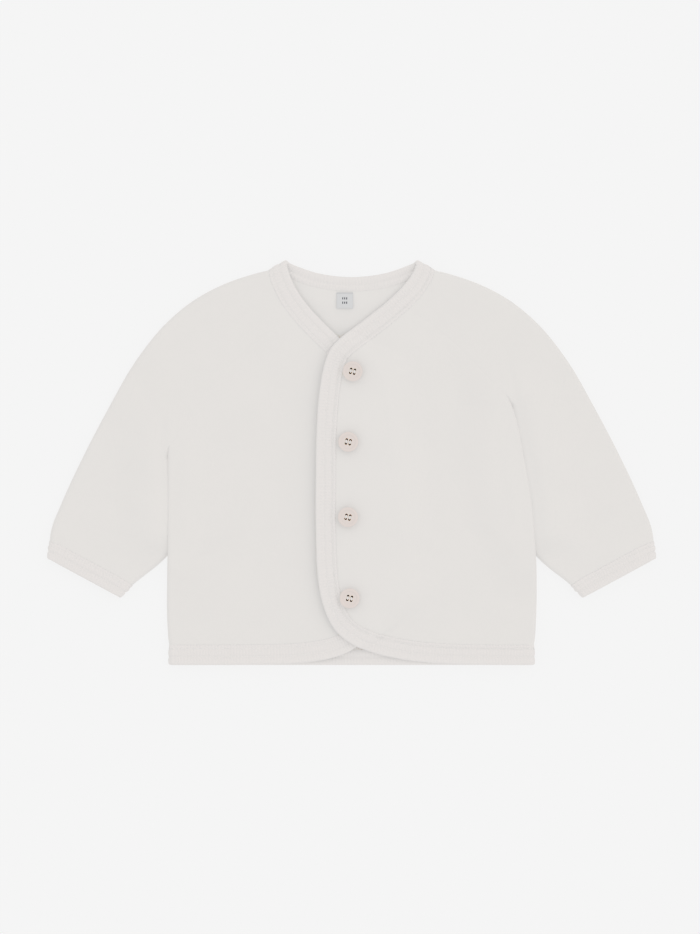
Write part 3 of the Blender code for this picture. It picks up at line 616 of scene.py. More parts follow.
def back_side(side):
    """Plan points down one side of the back: beside its raglan seam, then round the side fold."""
    across = np.array([-side, 0.0])
    seam = Line(CUT.back_raglan[side], -side).moved(SEWN_GAP / 2)
    on_seam = seam.at(seam.before_fold(steps(BACK_SEAM)))
    along = on_seam[:, None] + fold_depth(FOLD_ANGLES)[None, :, None] * across
    down = np.linspace(0, 1, steps(SIDE_SEAM)) ** TOP_SHARE
    return np.concatenate([along, fold_band(CUT.side[side], down, "body", across)])


def back_grid():
    """Middle surface of the back: columns from right to left, rows from the neck to the hem."""
    right, left = back_side(RIGHT), back_side(LEFT)
    start, end = CUT.neck.nearest(right[0, 0]), CUT.neck.nearest(left[0, 0])
    columns, folds = steps(2 * SIDE_X), len(INTO_FOLD)
    depth = fold_depth(INTO_FOLD)
    neck_marks = np.linspace(start + LOFT / 2, end - LOFT / 2, columns)
    neck = CUT.neck.at(np.concatenate([start + depth, neck_marks, end - depth[::-1]]))
    hem = CUT.hem.at(np.linspace(HEM_INSET, CUT.hem.length - HEM_INSET, columns))
    middle = fills(neck[folds : folds + columns], hem, right[:, -1], left[:, -1])
    grid = np.concatenate([right[:, :-1], middle, left[:, -2::-1]], axis=1)
    turned = np.full(grid.shape[:2], 90.0)
    turned[steps(BACK_SEAM) :, :folds] = INTO_FOLD
    turned[steps(BACK_SEAM) :, -folds:] = OUT_OF_FOLD
    grid[0] = neck
    return place(grid, "body", -1, turned)


def sleeve_half(side, sign, closed):
    """Middle surface of half a sleeve, from its outer fold to its seam.

    From row closed on, its other side is the underarm fold.
    """
    seam = Line((CUT.raglan if sign > 0 else CUT.back_raglan)[side], side).moved(SEWN_GAP / 2)
    outer, cuff = CUT.shoulder[side], CUT.cuff[side]
    ring = outer.nearest(ARMPIT_ON_SHOULDER[side]) / outer.length
    shares = np.linspace(0, 1, steps(UNDERARM_SEAM)) ** ARMPIT_SHARE
    down = np.append(np.linspace(0, ring, closed, endpoint=False), blend(ring, 1, shares))
    far = fold_band(outer, down, "sleeve")
    marks = seam.before_fold(closed)
    on_seam, seam_in = seam.at(marks), seam.inward(marks)
    along = on_seam[:, None] + fold_depth(FOLD_ANGLES[::-1])[None, :, None] * seam_in[:, None]
    near = fold_band(CUT.under[side], shares, "sleeve", seam_in[-1])[:, ::-1]
    near = np.concatenate([along, near])
    neck = CUT.edge[side] if sign > 0 else CUT.neck
    tip, root = neck.nearest(outer.at(0)), neck.nearest(on_seam[0])
    inset = LOFT / 2 * np.sign(root - tip)
    columns, folds = steps(SLEEVE_WIDTH), len(INTO_FOLD)
    top = neck.at(np.linspace(tip + inset, root - inset, columns))
    bottom = cuff.at(np.linspace(LOFT / 2, cuff.length - LOFT / 2, columns))
    middle = fills(top, bottom, far[:, -1], near[:, 0])
    grid = np.concatenate([far[:, :-1], middle, near[:, 1:]], axis=1)
    turned = np.full(grid.shape[:2], 90.0)
    turned[:, :folds] = INTO_FOLD
    turned[closed:, -folds:] = OUT_OF_FOLD
    return place(grid, "sleeve", sign, turned)


def sleeve_grid(side):
    """A whole sleeve, from the front seam over the outer fold to the back seam.

    Its closed row comes second.
    """
    closed = steps(math.dist(CUT.raglan[side][0], CUT.raglan[side][-1]))
    front, back = (sleeve_half(side, sign, closed) for sign in (1, -1))
    return np.concatenate([front[:, ::-1], back[:, 1:]], axis=1), closed


# Meshes


def lengths(points, axis):
    """Length along the rows or columns of a grid."""
    runs = np.linalg.norm(np.diff(points, axis=axis), axis=-1)
    start = np.zeros_like(np.take(runs, [0], axis=axis))
    return np.concatenate([start, np.cumsum(runs, axis=axis)], axis=axis)


def normals_of(points, up, ring=False):
    """Normals of a grid of points. up is the sign of z where the grid starts."""
    padded = np.concatenate([points[-2:-1], points, points[1:2]]) if ring else points
    found = np.cross(np.gradient(padded, axis=0), np.gradient(padded, axis=1))
    found = found[1:-1] if ring else found
    found /= np.maximum(np.linalg.norm(found, axis=-1, keepdims=True), 1e-9)
    sample = found[len(found) // 8, 3 : 3 + found.shape[1] // 4]
    return found if np.sign(sample[:, 2].mean()) == up else -found


def add_mesh(name, points, edges, faces, material):
    mesh = bpy.data.meshes.new(name)
    mesh.from_pydata((points - (0, MIDDLE_Y, 0)) * MM, edges, faces)
    mesh.polygons.foreach_set("use_smooth", np.ones(len(mesh.polygons), bool))
    mesh.materials.append(material)
    made = bpy.data.objects.new(name, mesh)
    bpy.context.scene.collection.objects.link(made)
    return made


def store(mesh, label, values):
    """Keeps one number for each point, by name."""
    made = mesh.attributes.new(label, "FLOAT", "POINT")
    made.data.foreach_set("value", np.ravel(values).astype(np.float32))


def corners_of(mesh):
    """Vertex number of every face corner."""
    loops = np.zeros(len(mesh.loops), np.int32)
    mesh.loops.foreach_get("vertex_index", loops)
    return loops


def map_uv(mesh, uv):
    layer = mesh.uv_layers.new(name="UVMap")
    layer.data.foreach_set("uv", uv.ravel().astype(np.float32))


def quads(ids):
    """Faces of a grid of vertex numbers."""
    corners = (ids[:-1, :-1], ids[:-1, 1:], ids[1:, 1:], ids[1:, :-1])
    return np.stack([corner.ravel() for corner in corners], axis=1)


def outward(points, faces):
    """Faces turned so that the closed shape's volume is positive."""
    volume = 0.0
    for face in faces:
        a, b, c = points[face[0]], points[face[1:-1]], points[face[2:]]
        volume += np.einsum("ij,ij->", np.broadcast_to(a, b.shape), np.cross(b, c))
    return faces if volume > 0 else [face[::-1] for face in faces]


def shell(name, middle, normal, half, material, closed_from=None):
    """A closed wall round a grid's middle surface. half is its half thickness at every point.

    From row closed_from the last column is the first one again, as round a sleeve.
    """
    rows, columns = middle.shape[:2]
    ids = np.arange(rows * columns).reshape(rows, columns)
    open_rows = rows - 1
    if closed_from is not None:
        ids[closed_from:, -1] = ids[closed_from:, 0]
        open_rows = closed_from
    faces = [quads(ids), quads(ids)[:, ::-1] + ids.size]
    rims = (
        (ids[0, 1:], ids[0, :-1]),
        (ids[-1, :-1], ids[-1, 1:]),
        (ids[:open_rows, 0], ids[1 : open_rows + 1, 0]),
        (ids[1 : open_rows + 1, -1], ids[:open_rows, -1]),
    )
    faces += [np.stack([b, a, a + ids.size, b + ids.size], axis=1) for a, b in rims]
    lift = normal * half[..., None]
    points = np.concatenate([(middle + lift).reshape(-1, 3), (middle - lift).reshape(-1, 3)])
    used, compact = np.unique(np.concatenate(faces), return_inverse=True)
    points, faces = points[used], list(compact.reshape(-1, 4))
    made = add_mesh(name, points, [], outward(points, faces), material)
    made.data.set_sharp_from_angle(angle=SHARP)
    return made


def fleece_piece(name, middle, up, seams, closed_from=None):
    """Fleece on its middle surface, rolled in and dipped along its seams.

    seams holds the grid's sides that are sewn: "first", "last" for columns and "top" for rows.
    """
    normal = normals_of(middle, up)
    if closed_from is not None:
        joined = unit(normal[closed_from:, 0] + normal[closed_from:, -1])
        normal[closed_from:, 0], normal[closed_from:, -1] = joined, joined
    across, down = lengths(middle, 1), lengths(middle, 0)
    sides = {
        "first": (across, down),
        "last": (across[:, -1:] - across, down),
        "top": (down, across),
    }
    half = np.full(across.shape, FLEECE / 2)
    lift = np.zeros(across.shape)
    for seam in seams:
        far, along = sides[seam]
        sewn = np.ones_like(far)
        if closed_from is not None:
            sewn[closed_from:] = ramp(1 - (down[closed_from:] - down[closed_from]) / SEAM_END)
        roll = np.sqrt(1 - (1 - np.clip(far / ROLL, 0, 1)) ** 2)
        half = np.minimum(half, FLEECE / 2 * (1 - sewn * SEWN_THIN * (1 - roll)))
        wander = np.sin(along / PUCKER_WANDER)
        pucker = 1 + PUCKER * np.sin(2 * math.pi * along / PUCKER_PITCH + wander)
        swell = SWELL * pucker * bell((far - SWELL_AT) / SWELL_REACH)
        lift += sewn * (swell - bell(far / VALLEY))
    lift *= bpy.context.scene.jacket_fleece.seam_dip / MM
    middle = middle + normal * lift[..., None]
    return shell(name, middle, normal, half, material("fleece"), closed_from)


# Bindings


class Path:
    """Stations along a fleece edge.

    Each is a plan point, the angle round a fold there, the direction into the cloth, and the
    side of the layer, 1 above and -1 below. up is the sign of z where the path starts.
    """

    def __init__(self, layer, up, ring=False):
        self.layer, self.up, self.ring = layer, up, ring
        self.parts = []

    def add(self, q, turned, inward, sign=1):
        inward, turned = np.broadcast_to(inward, q.shape), np.broadcast_to(turned, len(q))
        self.parts.append((q, turned, inward, np.full(len(q), sign)))

    def middle(self, reaches):
        """Middle surface of the fleece below the binding, at distances from its edge.

        Its rows are spaced evenly, to suit a whole number of ribs.
        """
        q, turned, inward, sign = (np.concatenate(part) for part in zip(*self.parts))
        if self.ring:
            q, turned, inward, sign = (np.concatenate([a, a[:1]]) for a in (q, turned, inward, sign))
        inward = unit(inward)
        along = lengths(place(q, self.layer, sign, turned), 0)
        pitch = bpy.context.scene.jacket_binding.rib_pitch / MM
        ribs = max(1, round(along[-1] / pitch))
        even = np.linspace(0, along[-1], ribs * RIB_SAMPLES + 1)
        columns = []
        for reach in reaches:
            line = place(q + inward * reach, self.layer, sign, turned)
            columns.append(np.stack([np.interp(even, along, line[:, k]) for k in range(3)], axis=-1))
        return np.stack(columns, axis=1), even * (ribs * pitch / along[-1])


def fold_stations(fold, mark, meets, past=PAST_FOLD):
    """Stations round the fold that an edge ends on, up to the edge's first flat point."""
    angles = np.linspace(past, 90, FOLD_STATIONS, endpoint=False)
    start = fold.at(mark)
    return start + fold_depth(angles, 1)[:, None] * (meets - start), angles


def reverse(stations):
    return tuple(part[::-1] for part in stations)


def shoulder_end(edge, side):
    """Mark of an edge where it meets the shoulder's fold, and the direction of that fold."""
    fold = CUT.shoulder[side]
    return edge.nearest(fold.at(0)), unit(fold.at(CLEAR) - fold.at(0))


def fan(marks, inward, mark, toward, reach):
    """Directions that turn from one at a mark to the edge's own."""
    return blend(toward, inward, ramp(np.abs(marks - mark) / reach)[:, None])


def front_path(side):
    edge, fold = CUT.edge[side], CUT.side[side]
    path = Path("left front" if side == LEFT else "body", 1)
    tip, toward = shoulder_end(edge, side)
    marks = np.arange(tip + LOFT / 2, edge.length - HEM_INSET, FINE_STATION)
    q = edge.at(marks)
    path.add(*fold_stations(CUT.shoulder[side], 0, q[0]), toward)
    path.add(q, 90.0, fan(marks, edge.inward(marks), tip, toward, NECK_FAN))
    path.add(*reverse(fold_stations(fold, fold.length, q[-1])), (0.0, 1.0))
    return path


def neck_path():
    neck = CUT.neck
    path = Path("body", -1)
    ends = [shoulder_end(neck, side) for side in (RIGHT, LEFT)]
    meets = (ends[0][0] + LOFT / 2, ends[1][0] - LOFT / 2)
    marks = np.arange(*meets, FINE_STATION)
    inward = neck.inward(marks)
    for tip, toward in ends:
        inward = fan(marks, inward, tip, toward, NECK_FAN)
    path.add(*fold_stations(CUT.shoulder[RIGHT], 0, neck.at(meets[0])), ends[0][1], -1)
    path.add(neck.at(marks), 90.0, inward, -1)
    stations = fold_stations(CUT.shoulder[LEFT], 0, neck.at(meets[1]))
    path.add(*reverse(stations), ends[1][1], -1)
    return path


def hem_path():
    path = Path("body", -1)
    hem, up = CUT.hem, (0.0, 1.0)
    ends = (HEM_INSET, hem.length - HEM_INSET)
    right, left = (
        fold_stations(CUT.side[side], CUT.side[side].length, hem.at(end))
        for side, end in zip((RIGHT, LEFT), ends)
    )
    path.add(*right, up, -1)
    path.add(hem.at(np.arange(*ends, STATION)), 90.0, up, -1)
    path.add(*reverse(left), up, -1)
    return path


def cuff_path(side):
    """Over the front of a sleeve, round the underarm fold, back, and round the outer fold."""
    cuff, outer, under = CUT.cuff[side], CUT.shoulder[side], CUT.under[side]
    path = Path("sleeve", 1, ring=True)
    marks = np.arange(LOFT / 2, cuff.length - LOFT / 2, STATION)
    q, inward = cuff.at(marks), cuff.inward(marks)
    ways = []
    for fold, mark in ((outer, 0), (under, cuff.length)):
        ways.append(unit(fold.at(fold.length - OUTSIDE) - fold.at(fold.length)))
        inward = fan(marks, inward, mark, ways[-1], CUFF_FAN)
    over_outer = fold_stations(outer, outer.length, q[0], past=0.0)
    over_under = fold_stations(under, under.length, q[-1], past=0.0)
    path.add(q, 90.0, inward)
    path.add(*reverse(over_under), ways[1])
    path.add(*(part[1:] for part in over_under), ways[1], -1)
    path.add(q[::-1], 90.0, inward[::-1], -1)
    path.add(*reverse(over_outer), ways[0], -1)
    path.add(*(part[1:] for part in over_outer), ways[0])
    return path


def between(grid, reaches, reach):
    """Points between a grid's columns, at one distance."""
    k = np.interp(reach, reaches, np.arange(len(reaches)))
    i = min(int(k), len(reaches) - 2)
    return blend(grid[:, i], grid[:, i + 1], k - i)


def binding_faces(path, outside, inside):
    """Rows round the binding: points, the distance along and across it, and where it shows."""
    reaches = np.linspace(0, outside, REACHES)
    middle, along = path.middle(reaches)
    normal = normals_of(middle, path.up, path.ring)
    rim, rim_up = middle[:, 0], normal[:, 0]
    away = rim - middle[:, 1]
    away = unit(away - rim_up * np.sum(away * rim_up, axis=-1, keepdims=True))
    lip_share = np.full(len(rim), LIP_SHARE)
    if path.layer == "left front":
        lip_share += STEEP_LIP[0] * within(rim[:, 1], *STEEP_LIP[1])
    rings = []

    def add(reach, height, show=1.0):
        up = unit(between(normal, reaches, reach))
        rings.append((between(middle, reaches, reach) + up * height, reach + TURN, show))

    def under(reach, end):
        return FLEECE / 2 + blend(LIP_GAP, SEAM, ramp((end - reach) / LIP))

    def over(reach, end):
        rounded = math.sqrt(1 - (1 - min((end - reach) / LIP_ROUND, 1.0)) ** 2)
        full = blend(lip_share, 1, ramp((end - reach) / LIP))
        return (under(reach, end) + RIB * full * blend(LIP_BLUNT, 1, rounded))[:, None]

    face = np.arange(outside - OUTER_ENDS[0], OUTER_ENDS[1], -RING)
    for reach in (*(outside - LIP_RINGS), *face):
        add(reach, over(reach, outside))
    for swing in np.linspace(0, math.pi, TURN_STEPS):
        point = rim + rim_up * (SHELL + RIB) * math.cos(swing) + away * TURN * math.sin(swing)
        rings.append((point, TURN * abs(math.cos(swing)), 1.0))
    back = np.arange(INNER_ENDS[1], inside - INNER_ENDS[0], INNER_RING)
    for reach in (*back, *(inside - LIP_RINGS[::-1])):
        add(reach, -over(reach, inside), 1.0 if inside - reach > LIP_ROUND else INNER_LIP_SHARE)
    for reach in (inside, inside - LIP / 2, inside - LIP, INNER_ENDS[1]):
        add(reach, -under(reach, inside), 0.0)
    rings.append((rim - rim_up * SHELL, 0.0, 0.0))
    rings.append((rim + away * (TURN - RIB), 0.0, 0.0))
    for reach in (*HIDDEN_REACHES, outside - LIP, outside - LIP / 2, outside):
        add(reach, under(reach, outside), 0.0)
    points, across, shown = zip(*rings)
    return np.stack(points, axis=1), along, np.array(across), np.array(shown)


def binding_mesh(name, path, outside, inside):
    """The binding's smooth shape, with the attributes that its ribs and grooves are made from."""
    points, along, across, shown = binding_faces(path, outside, inside)
    stations, count = points.shape[:2]
    if path.ring:
        stations -= 1
    flat = points[:stations].reshape(-1, 3)
    ids = np.arange(len(flat)).reshape(stations, count)
    ids = np.concatenate([ids, ids[:, :1]], axis=1)
    if path.ring:
        faces = list(quads(np.concatenate([ids, ids[:1]])))
    else:
        faces = [*quads(ids), ids[0, :-1][::-1], ids[-1, :-1]]
    made = add_mesh(name, flat, [], outward(flat, faces), material("rib"))
    mesh = made.data
    store(mesh, "along", np.repeat(along[:stations] * MM, count))
    store(mesh, "across", np.tile(across * MM, stations))
    store(mesh, "shown", np.tile(shown, stations))
    corners = corners_of(mesh)
    u, v = along[corners // count] * MM, across[corners % count] * MM
    if path.ring:
        closing = np.repeat(np.arange(len(mesh.polygons)), 4) >= (stations - 1) * count
        u = np.where(closing & (corners < count), along[-1] * MM, u)
    map_uv(mesh, np.stack([u, v], axis=1))
    return made


def stitch_rows(name, path, rows, sink, outside):
    """Edges along the binding's needle rows, for the stitches to follow."""
    reaches = np.array([*NEEDLE_REACHES, outside])
    middle, _ = path.middle(reaches)
    normal = normals_of(middle, path.up, path.ring)
    points, edges = [], []
    for row in rows:
        column = int(np.searchsorted(reaches, row - TURN, side="right")) - 1
        base = between(middle, reaches, row - TURN) + normal[:, column] * (SHELL + RIB - sink)
        start = len(points)
        points += list(base[::3])
        edges += [(n, n + 1) for n in range(start, len(points) - 1)]
    return add_mesh(name, np.array(points), edges, [], material("thread"))


# Node trees


def new_tree(name, kind, given, made):
    """A node group with named inputs, which have defaults, and outputs."""
    tree = bpy.data.node_groups.new(name, kind)
    for label, sort, default in given:
        socket = tree.interface.new_socket(label, in_out="INPUT", socket_type=f"NodeSocket{sort}")
        if default is not None:
            socket.default_value = default
    for label, sort in made:
        tree.interface.new_socket(label, in_out="OUTPUT", socket_type=f"NodeSocket{sort}")
    return tree, tree.nodes.new("NodeGroupInput"), tree.nodes.new("NodeGroupOutput")


def connect(tree, socket, value):
    if isinstance(value, bpy.types.NodeSocket):
        tree.links.new(value, socket)
    elif value is not None:
        socket.default_value = value


def add_node(tree, kind, *inputs, named=None, **properties):
    """A node with its first inputs linked or set in order, and others by name."""
    node = tree.nodes.new(kind)
    for label, value in properties.items():
        setattr(node, label, value)
    for socket, value in zip(node.inputs, inputs):
        connect(tree, socket, value)
    for label, value in (named or {}).items():
        connect(tree, node.inputs[label], value)
    return node


def maths(tree):
    """A function that adds a sum to the tree and returns its result."""

    def sums(operation, *inputs):
        return add_node(tree, "ShaderNodeMath", *inputs, operation=operation).outputs[0]

    return sums


def scaled(tree, vector, factor):
    by = {"Scale": factor}
    return add_node(tree, "ShaderNodeVectorMath", vector, named=by, operation="SCALE").outputs[0]


def finish_tree(tree, geometry, given, last):
    solid = add_node(tree, "GeometryNodeRealizeInstances", geometry)
    smooth = add_node(tree, "GeometryNodeSetShadeSmooth", solid.outputs[0])
    colour = {"Material": given.outputs["Material"]}
    painted = add_node(tree, "GeometryNodeSetMaterial", smooth.outputs[0], named=colour)
    connect(tree, last.inputs[0], painted.outputs[0])
    return tree


def ribs_tree():
    """Raises ribs along a binding and sinks two grooves at its needle rows, along the normals."""
    tree, given, last = new_tree(
        "Ribs",
        "GeometryNodeTree",
        (
            ("Geometry", "Geometry", None),
            ("Rib Pitch", "Float", 0.00215),
            ("Rib Depth", "Float", 0.00035),
            ("First Row", "Float", 0.0057),
            ("Second Row", "Float", 0.0115),
            ("First Depth", "Float", 0.0006),
            ("Second Depth", "Float", 0.0006),
            ("Groove Width", "Float", 0.00095),
            ("Material", "Material", None),
        ),
        [("Geometry", "Geometry")],
    )
    sums = maths(tree)
    along, across, shown = (
        add_node(tree, "GeometryNodeInputNamedAttribute", label, data_type="FLOAT").outputs["Attribute"]
        for label in ("along", "across", "shown")
    )
    turn = sums("MULTIPLY", sums("DIVIDE", along, given.outputs["Rib Pitch"]), math.pi)
    rib = sums("SUBTRACT", sums("ABSOLUTE", sums("SINE", turn)), RIB_MEAN)
    grooves = []
    for row in ("First Row", "Second Row"):
        off = sums("SUBTRACT", across, given.outputs[row])
        off = sums("DIVIDE", off, given.outputs["Groove Width"])
        grooves.append(sums("EXPONENT", sums("MULTIPLY", sums("MULTIPLY", off, off), -1.0)))
    groove = sums("MINIMUM", sums("ADD", *grooves), 1.0)
    sunk = sums("MULTIPLY", grooves[0], given.outputs["First Depth"])
    sunk = sums("MULTIPLY_ADD", grooves[1], given.outputs["Second Depth"], sunk)
    calm = sums("MINIMUM", sums("MULTIPLY_ADD", across, RIB_RISE, RIB_START), 1.0)
    raised = sums("MULTIPLY", sums("MULTIPLY", rib, calm), given.outputs["Rib Depth"])
    left = sums("SUBTRACT", 1.0, sums("MULTIPLY", groove, GROOVE_SHARE))
    height = sums("SUBTRACT", sums("MULTIPLY", raised, left), sunk)
    height = sums("MULTIPLY", height, shown)
    normal = tree.nodes.new("GeometryNodeInputNormal").outputs[0]
    by = {"Offset": scaled(tree, normal, height)}
    moved = add_node(tree, "GeometryNodeSetPosition", given.outputs[0], named=by)
    return finish_tree(tree, moved.outputs[0], given, last)


def stitches_tree():
    """Lays rounded stitches end to end along edges."""
    tree, given, last = new_tree(
        "Stitches",
        "GeometryNodeTree",
        (
            ("Geometry", "Geometry", None),
            ("Stitch Length", "Float", 0.0024),
            ("Gap", "Float", 0.0004),
            ("Thread Radius", "Float", 0.0002),
            ("Material", "Material", None),
        ),
        [("Geometry", "Geometry")],
    )
    sums = maths(tree)
    line = add_node(tree, "GeometryNodeMeshToCurve", given.outputs[0]).outputs[0]
    pitch = sums("ADD", given.outputs["Stitch Length"], given.outputs["Gap"])
    every = {"Length": pitch}
    points = add_node(tree, "GeometryNodeCurveToPoints", line, named=every, mode="LENGTH")
    ball = {"Segments": 6, "Rings": 5, "Radius": 1.0}
    ball = add_node(tree, "GeometryNodeMeshUVSphere", named=ball).outputs["Mesh"]
    half = sums("MULTIPLY", given.outputs["Stitch Length"], 0.5)
    radius = given.outputs["Thread Radius"]
    scale = add_node(tree, "ShaderNodeCombineXYZ", radius, radius, half)
    at, turned = points.outputs["Points"], points.outputs["Rotation"]
    values = {"Instance": ball, "Rotation": turned, "Scale": scale.outputs[0]}
    laid = add_node(tree, "GeometryNodeInstanceOnPoints", at, named=values)
    return finish_tree(tree, laid.outputs[0], given, last)


def group_of(build):
    """The node group that a function builds, which is named after it."""
    name = build.__name__.split("_")[0].title()
    return bpy.data.node_groups.get(name) or build()


def grown(made, build, values):
    """The plain mesh that a geometry tree makes of an object, in its place."""
    tree = group_of(build)
    modifier = made.modifiers.new(tree.name, "NODES")
    modifier.node_group = tree
    for socket in tree.interface.items_tree:
        if getattr(socket, "in_out", "") == "INPUT" and socket.name in values:
            modifier[socket.identifier] = values[socket.name]
    bpy.context.view_layer.update()
    graph = bpy.context.evaluated_depsgraph_get()
    mesh = bpy.data.meshes.new_from_object(made.evaluated_get(graph))
    made.modifiers.clear()
    old = made.data
    made.data = mesh
    bpy.data.meshes.remove(old)
    mesh.name = made.name
    return made


# Materials


def noise(tree, vector, scale, detail, distortion=0.0):
    values = {"Scale": scale, "Detail": detail, "Distortion": distortion}
    return add_node(tree, "ShaderNodeTexNoise", vector, named=values).outputs[0]


def nap_group():
    """Colour and height of short brushed fibre: a slow mottle, and fibres lying every way."""
    tree, given, last = new_tree(
        "Nap",
        "ShaderNodeTree",
        (
            ("Colour", "Color", (0.8, 0.8, 0.8, 1)),
            ("Fibre Scale", "Float", 1400.0),
            ("Mottle", "Float", 0.03),
        ),
        (("Colour", "Color"), ("Height", "Float")),
    )
    sums = maths(tree)
    here = tree.nodes.new("ShaderNodeTexCoord").outputs["Object"]
    fibres = []
    for degrees in (15, 60, 105, 150):
        by = {"Angle": math.radians(degrees)}
        turned = add_node(tree, "ShaderNodeVectorRotate", here, named=by, rotation_type="Z_AXIS")
        drawn = (turned.outputs[0], (1.0, 0.2, 0.6))
        drawn = add_node(tree, "ShaderNodeVectorMath", *drawn, operation="MULTIPLY")
        fibres.append(noise(tree, drawn.outputs[0], given.outputs["Fibre Scale"], 2.0, 1.6))
    fibre = fibres[0]
    for other in fibres[1:]:
        fibre = sums("MAXIMUM", fibre, other)
    tuft = noise(tree, here, 420.0, 2.0)
    mottle = noise(tree, here, 34.0, 3.0)
    height = sums("MULTIPLY_ADD", fibre, 0.6, sums("MULTIPLY", tuft, 0.4))
    mixed = sums("ADD", mottle, sums("MULTIPLY", height, 0.8))
    shade = sums("MULTIPLY_ADD", sums("SUBTRACT", mixed, 0.9), given.outputs["Mottle"], 1.0)
    connect(tree, last.inputs["Colour"], scaled(tree, given.outputs["Colour"], shade))
    connect(tree, last.inputs["Height"], height)
    return tree


def knit_group():
    """Height of knitted loops on a piece's own UV map: columns of slanting loops."""
    tree, given, last = new_tree(
        "Knit",
        "ShaderNodeTree",
        (("Column Pitch", "Float", 0.001075), ("Loop Pitch", "Float", 0.0009)),
        [("Height", "Float")],
    )
    sums = maths(tree)
    uv = tree.nodes.new("ShaderNodeUVMap").outputs[0]
    split = add_node(tree, "ShaderNodeSeparateXYZ", uv)
    column = sums("DIVIDE", split.outputs[0], given.outputs["Column Pitch"])
    off = sums("ABSOLUTE", sums("SUBTRACT", sums("FRACT", column), 0.5))
    loop = sums("DIVIDE", split.outputs[1], given.outputs["Loop Pitch"])
    slant = sums("FRACT", sums("MULTIPLY_ADD", off, 1.1, loop))
    arch = sums("SINE", sums("MULTIPLY", slant, math.pi))
    valley = sums("SINE", sums("MULTIPLY", off, 2 * math.pi))
    height = sums("MULTIPLY_ADD", valley, 0.5, sums("MULTIPLY", arch, 0.5))
    connect(tree, last.inputs["Height"], height)
    return tree


def use_group(tree, build, **values):
    values = {label.replace("_", " "): value for label, value in values.items()}
    return add_node(tree, "ShaderNodeGroup", named=values, node_tree=group_of(build))


def new_material(name, roughness, **shader_values):
    made = bpy.data.materials.new(name)
    made.use_nodes = True
    shader = made.node_tree.nodes["Principled BSDF"]
    shader.inputs["Roughness"].default_value = roughness
    for label, value in shader_values.items():
        shader.inputs[label.replace("_", " ")].default_value = value
    return made, made.node_tree, shader


def nap_material(name, roughness, colour, fibre_scale, mottle, **shader_values):
    """A material coloured by the nap group, and that group's outputs."""
    made, tree, shader = new_material(name, roughness, **shader_values)
    colour = (*colour, 1)
    nap = use_group(tree, nap_group, Colour=colour, Fibre_Scale=fibre_scale, Mottle=mottle)
    connect(tree, shader.inputs["Base Color"], nap.outputs["Colour"])
    return made, tree, shader, nap.outputs


def bump(tree, shader, height, distance, strength):
    values = {"Strength": strength, "Distance": distance, "Height": height}
    made = add_node(tree, "ShaderNodeBump", named=values)
    connect(tree, shader.inputs["Normal"], made.outputs[0])


def mixed(tree, mask, under, over):
    values = {"Factor": mask, "A": under, "B": over}
    return add_node(tree, "ShaderNodeMix", named=values, data_type="RGBA").outputs["Result"]


def fleece_material():
    cloth = {"Sheen_Weight": 0.25, "Sheen_Roughness": 0.6, "IOR": 1.3}
    colour = bpy.context.scene.jacket_fleece.colour
    made, tree, shader, nap = nap_material("Fleece", 0.95, colour, 5200.0, 0.03, **cloth)
    bump(tree, shader, nap["Height"], 0.0003, 0.6)
    return made


def rib_material():
    settings = bpy.context.scene.jacket_binding
    cloth = {"Sheen_Weight": 0.15, "Sheen_Roughness": 0.6, "IOR": 1.3}
    made, tree, shader, nap = nap_material("Rib", 0.9, settings.colour, 2200.0, 0.012, **cloth)
    knit = use_group(tree, knit_group, Column_Pitch=settings.rib_pitch / 2, Loop_Pitch=0.0009)
    both = maths(tree)("MULTIPLY_ADD", nap["Height"], 0.35, knit.outputs["Height"])
    bump(tree, shader, both, 0.00012, 0.5)
    return made


def thread_material():
    colour = (0.83, 0.81, 0.78)
    made, tree, shader, nap = nap_material("Thread", 0.7, colour, 4000.0, 0.03, Sheen_Weight=0.1)
    bump(tree, shader, nap["Height"], 0.0001, 0.6)
    return made


def button_material():
    """Pale nut-like plastic with faint rings, and painted shade, a near-black brown, in the holes."""
    colour = bpy.context.scene.jacket_button.colour
    gloss = {"Coat_Weight": 0.15, "Coat_Roughness": 0.2}
    made, tree, shader, nap = nap_material("Button", 0.38, colour, 900.0, 0.05, **gloss)
    hole_shade = add_node(tree, "ShaderNodeAttribute", attribute_name="hole_shade").outputs["Fac"]
    # Painted shade: the holes' mask turns the colour a near-black brown
    dark = mixed(tree, hole_shade, nap["Colour"], (0.035, 0.018, 0.012, 1))
    connect(tree, shader.inputs["Base Color"], dark)
    bump(tree, shader, nap["Height"], 0.00008, 0.4)
    return made


def label_material():
    """Ribbon woven over and under, with painted shade on its upper end standing in for a fold, and two
    rows of bars.
    """
    made, tree, shader = new_material("Label", 0.7)
    sums = maths(tree)
    uv = tree.nodes.new("ShaderNodeUVMap").outputs[0]
    u, v = add_node(tree, "ShaderNodeSeparateXYZ", uv).outputs[:2]
    warp, weft = (
        sums("SINE", sums("MULTIPLY", way, 2 * math.pi / WEAVE_PITCH)) for way in (u, v)
    )
    weave = sums("MULTIPLY", warp, weft)
    off = sums("SUBTRACT", u, BARS_AT)
    wave = sums("COSINE", sums("MULTIPLY", off, 2 * math.pi / BAR_PITCH))
    bar = sums("GREATER_THAN", wave, BAR_SHARE)
    middle = sums("LESS_THAN", sums("ABSOLUTE", off), BARS_REACH)
    rows = []
    for at in BAR_ROWS:
        far = sums("ABSOLUTE", sums("SUBTRACT", v, at))
        rows.append(sums("LESS_THAN", far, BAR_HALF))
    marks = sums("MULTIPLY", sums("MULTIPLY", sums("ADD", *rows), bar), middle)
    # Painted shade along the upper end, standing in for a fold
    folded = sums("GREATER_THAN", v, LABEL_FOLD_SHADE)
    colour = (*bpy.context.scene.jacket_label.colour, 1)
    for mask, over in ((folded, (0.46, 0.46, 0.47, 1)), (marks, (0.1, 0.1, 0.11, 1))):
        colour = mixed(tree, mask, colour, over)
    connect(tree, shader.inputs["Base Color"], colour)
    bump(tree, shader, weave, 0.00006, 0.6)
    return made


